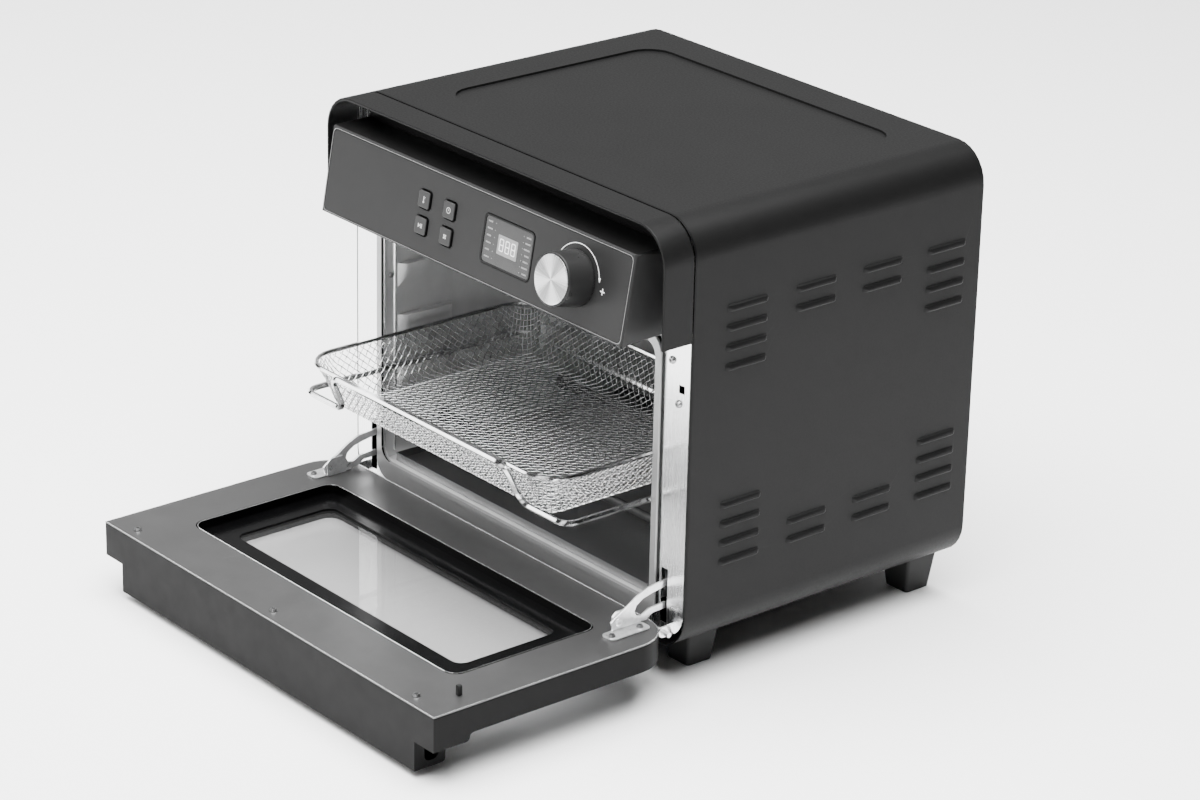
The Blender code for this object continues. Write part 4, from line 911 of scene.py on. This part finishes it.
def make_dial_print():
    """The turning arc with its arrow and the plus sign beside the knob."""
    marks = band(0.0, 0.0, DIAL_R, DIAL_STROKE, DIAL_FROM, DIAL_TO, 44)
    a = math.radians(DIAL_TO)
    tip = (DIAL_R * math.cos(a), DIAL_R * math.sin(a))
    marks.append([(tip[0] - 0.0013, tip[1] + 0.0003), (tip[0] + 0.0005, tip[1] - 0.0025),
                  (tip[0] + 0.0014, tip[1] + 0.0008)])
    x, up = PLUS_AT
    marks += [bar(x - PLUS_HALF, up, x + PLUS_HALF, up, PLUS_STROKE),
              bar(x, up - PLUS_HALF, x, up + PLUS_HALF, PLUS_STROKE)]
    make_print("dial_print", marks, PRINT_LIFT, PRINT, "oven")


def make_face_edge():
    """A dark line of painted shade and a paler one of painted highlight that run round the control face,
    just inside its edges.
    """
    low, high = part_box("control_panel")
    # painted shade in the dark line and painted highlight in the paler one, for the face's edge
    for name, inset, width, mat in (("face_shade_line", 0.0024, 0.0006, GLOSS_BLACK),
                                    ("face_highlight_line", 0.0017, 0.0004, FAINT_PRINT)):
        left, right = low.x - KNOB_AT.x + inset, high.x - KNOB_AT.x - inset
        bottom, top = FACE_LOW + inset, FACE_TOP - inset
        outer, inner = (rounded_outline(left - w, right + w, bottom - w, top + w, FACE_CORNER)
                        for w in (width / 2, -width / 2))
        make_print(name, frame_strips(outer, inner), PRINT_LIFT, mat, "oven")


def ring_bead(name, points, radius, mat, body):
    """A closed bead along a ring of points."""
    bm = bmesh.new()
    tube_into(bm, points, radius, 6, True)
    add_piece(name, bm, mat, body, ROUND)


# round the mouth: name, half width, lowest and highest z, corner, depth behind the liner's front, radius
# the two rings are black tubes of painted shade in the gaps at the flange's edge and at the mouth
MOUTH_RINGS = (("flange_gap_shade", 0.1614, 0.0464, 0.2606, 0.0149, 0.0026, 0.0009),
               ("mouth_gap_shade", 0.1559, 0.0606, 0.2541, 0.0116, 0.0011, 0.0010))
ARCH_HALF_W, ARCH_LOW, ARCH_HIGH, ARCH_CORNER = 0.1553, 0.0604, 0.2533, 0.0110
ARCH_FOOT, ARCH_DEPTH, ARCH_R = 0.0660, 0.0030, 0.0006
SIDE_BEAD_X, SIDE_BEAD_DEPTH, SIDE_BEAD_Z, SIDE_BEAD_R = 0.1558, 0.0128, (0.0660, 0.1600, 0.2500), 0.0011
HEM_X, HEM_Z, HEM_R = 0.1890, (0.0600, 0.1600, 0.2620), 0.0008
SHEET_CORNER, SHEET_INSET, SHEET_BEAD_R = 0.030, 0.00045, 0.0004
MASK_BORDER, WINDOW_CORNER = 0.0062, 0.0104
ROUND = 60  # degrees, smooth all the way round a bead


def make_mouth_beads():
    """Dark lines of painted shade in the gaps round the oven's mouth, bright folded edges round it, and
    dark hems down the cover's front edges.
    """
    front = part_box("oven_cavity")[0].y
    # painted shade: a black ring in each gap round the mouth
    for name, half_w, z0, z1, corner, depth, radius in MOUTH_RINGS:
        outline = rounded_outline(-half_w, half_w, z0, z1, corner, 8)
        ring_bead(name, [Vector((x, front + depth, z)) for x, z in outline], radius, GLOSS_BLACK, "oven")
    arch = rounded_outline(-ARCH_HALF_W, ARCH_HALF_W, ARCH_LOW, ARCH_HIGH, ARCH_CORNER, 8)
    upper = [(x, z) for x, z in arch if z > (ARCH_LOW + ARCH_HIGH) / 2]
    arch = [(ARCH_HALF_W, ARCH_FOOT), *upper, (-ARCH_HALF_W, ARCH_FOOT)]
    bm = bmesh.new()
    tube_into(bm, [Vector((x, front + ARCH_DEPTH, z)) for x, z in arch], ARCH_R, 6)
    for side in (-1, 1):
        tube_into(bm, [Vector((side * SIDE_BEAD_X, front + SIDE_BEAD_DEPTH, z)) for z in SIDE_BEAD_Z],
                  SIDE_BEAD_R, 8)
    add_piece("mouth_beads", bm, BRIGHT, "oven", ROUND)
    bm = bmesh.new()
    for side in (-1, 1):
        tube_into(bm, [Vector((side * HEM_X, SEAM_Y + 0.0002, z)) for z in HEM_Z], HEM_R, 8)
    add_piece("cover_hem", bm, GLOSS_BLACK, "oven", ROUND)


def make_door_beads():
    """Beads along the rolled edges of the door's inner sheet and its window, in bright steel as a painted
    highlight.
    """
    low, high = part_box("door_inner_sheet")
    top = high.z - 0.0001
    radius = SHEET_CORNER - SHEET_INSET
    edge = [(low.x + SHEET_INSET, low.y + SHEET_INSET), (high.x - SHEET_INSET, low.y + SHEET_INSET)]
    for cx, first in ((high.x - SHEET_CORNER, 0), (low.x + SHEET_CORNER, 90)):
        for s in range(9):
            a = math.radians(first + 90 * s / 8)
            edge.append((cx + radius * math.cos(a), high.y - SHEET_CORNER + radius * math.sin(a)))
    low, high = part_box("door_window_mask")
    opening = rounded_outline(low.x + MASK_BORDER, high.x - MASK_BORDER, low.y + MASK_BORDER,
                              high.y - MASK_BORDER, WINDOW_CORNER, 6)
    # painted highlight: bright steel beads on the edges of the dark sheet
    for name, outline in (("door_sheet_edge_highlight", edge), ("window_edge_highlight", opening)):
        points = [Vector((x, y, top)) for x, y in outline]
        ring_bead(name, points, SHEET_BEAD_R, BRIGHT, "door")


RIVET_AT = (0.0068, 0.0052)  # y and z from the arm's lowest corner
RIVET_RINGS = ((0.0, 0.0030), (0.0004, 0.0029), (0.0008, 0.0023), (0.0010, 0.0012))  # height, radius


def make_rivets():
    """A domed rivet head on the outer face of each hinge arm."""
    for tag, side in (("right", 1), ("left", -1)):
        low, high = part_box("hinge_arm_" + tag)
        outer = high.x if side > 0 else low.x
        bm = bmesh.new()
        rings = [[bm.verts.new((outer + side * height, y, z))
                  for y, z in disc(low.y + RIVET_AT[0], low.z + RIVET_AT[1], radius)]
                 for height, radius in RIVET_RINGS]
        for a, b in zip(rings, rings[1:]):
            for k in range(len(a)):
                j = (k + 1) % len(a)
                bm.faces.new((a[k], a[j], b[j], b[k]))
        bm.faces.new(rings[0])
        bm.faces.new(rings[-1])
        add_piece("hinge_rivet_" + tag, bm, ZINC, "door", 40)


# ---------------------------------------------------------------- assembly

make_camera()
make_studio()
dress_all()
make_basket_mesh()
make_icons()
make_display()
make_dial_print()
make_face_edge()
make_mouth_beads()
make_door_beads()
make_rivets()
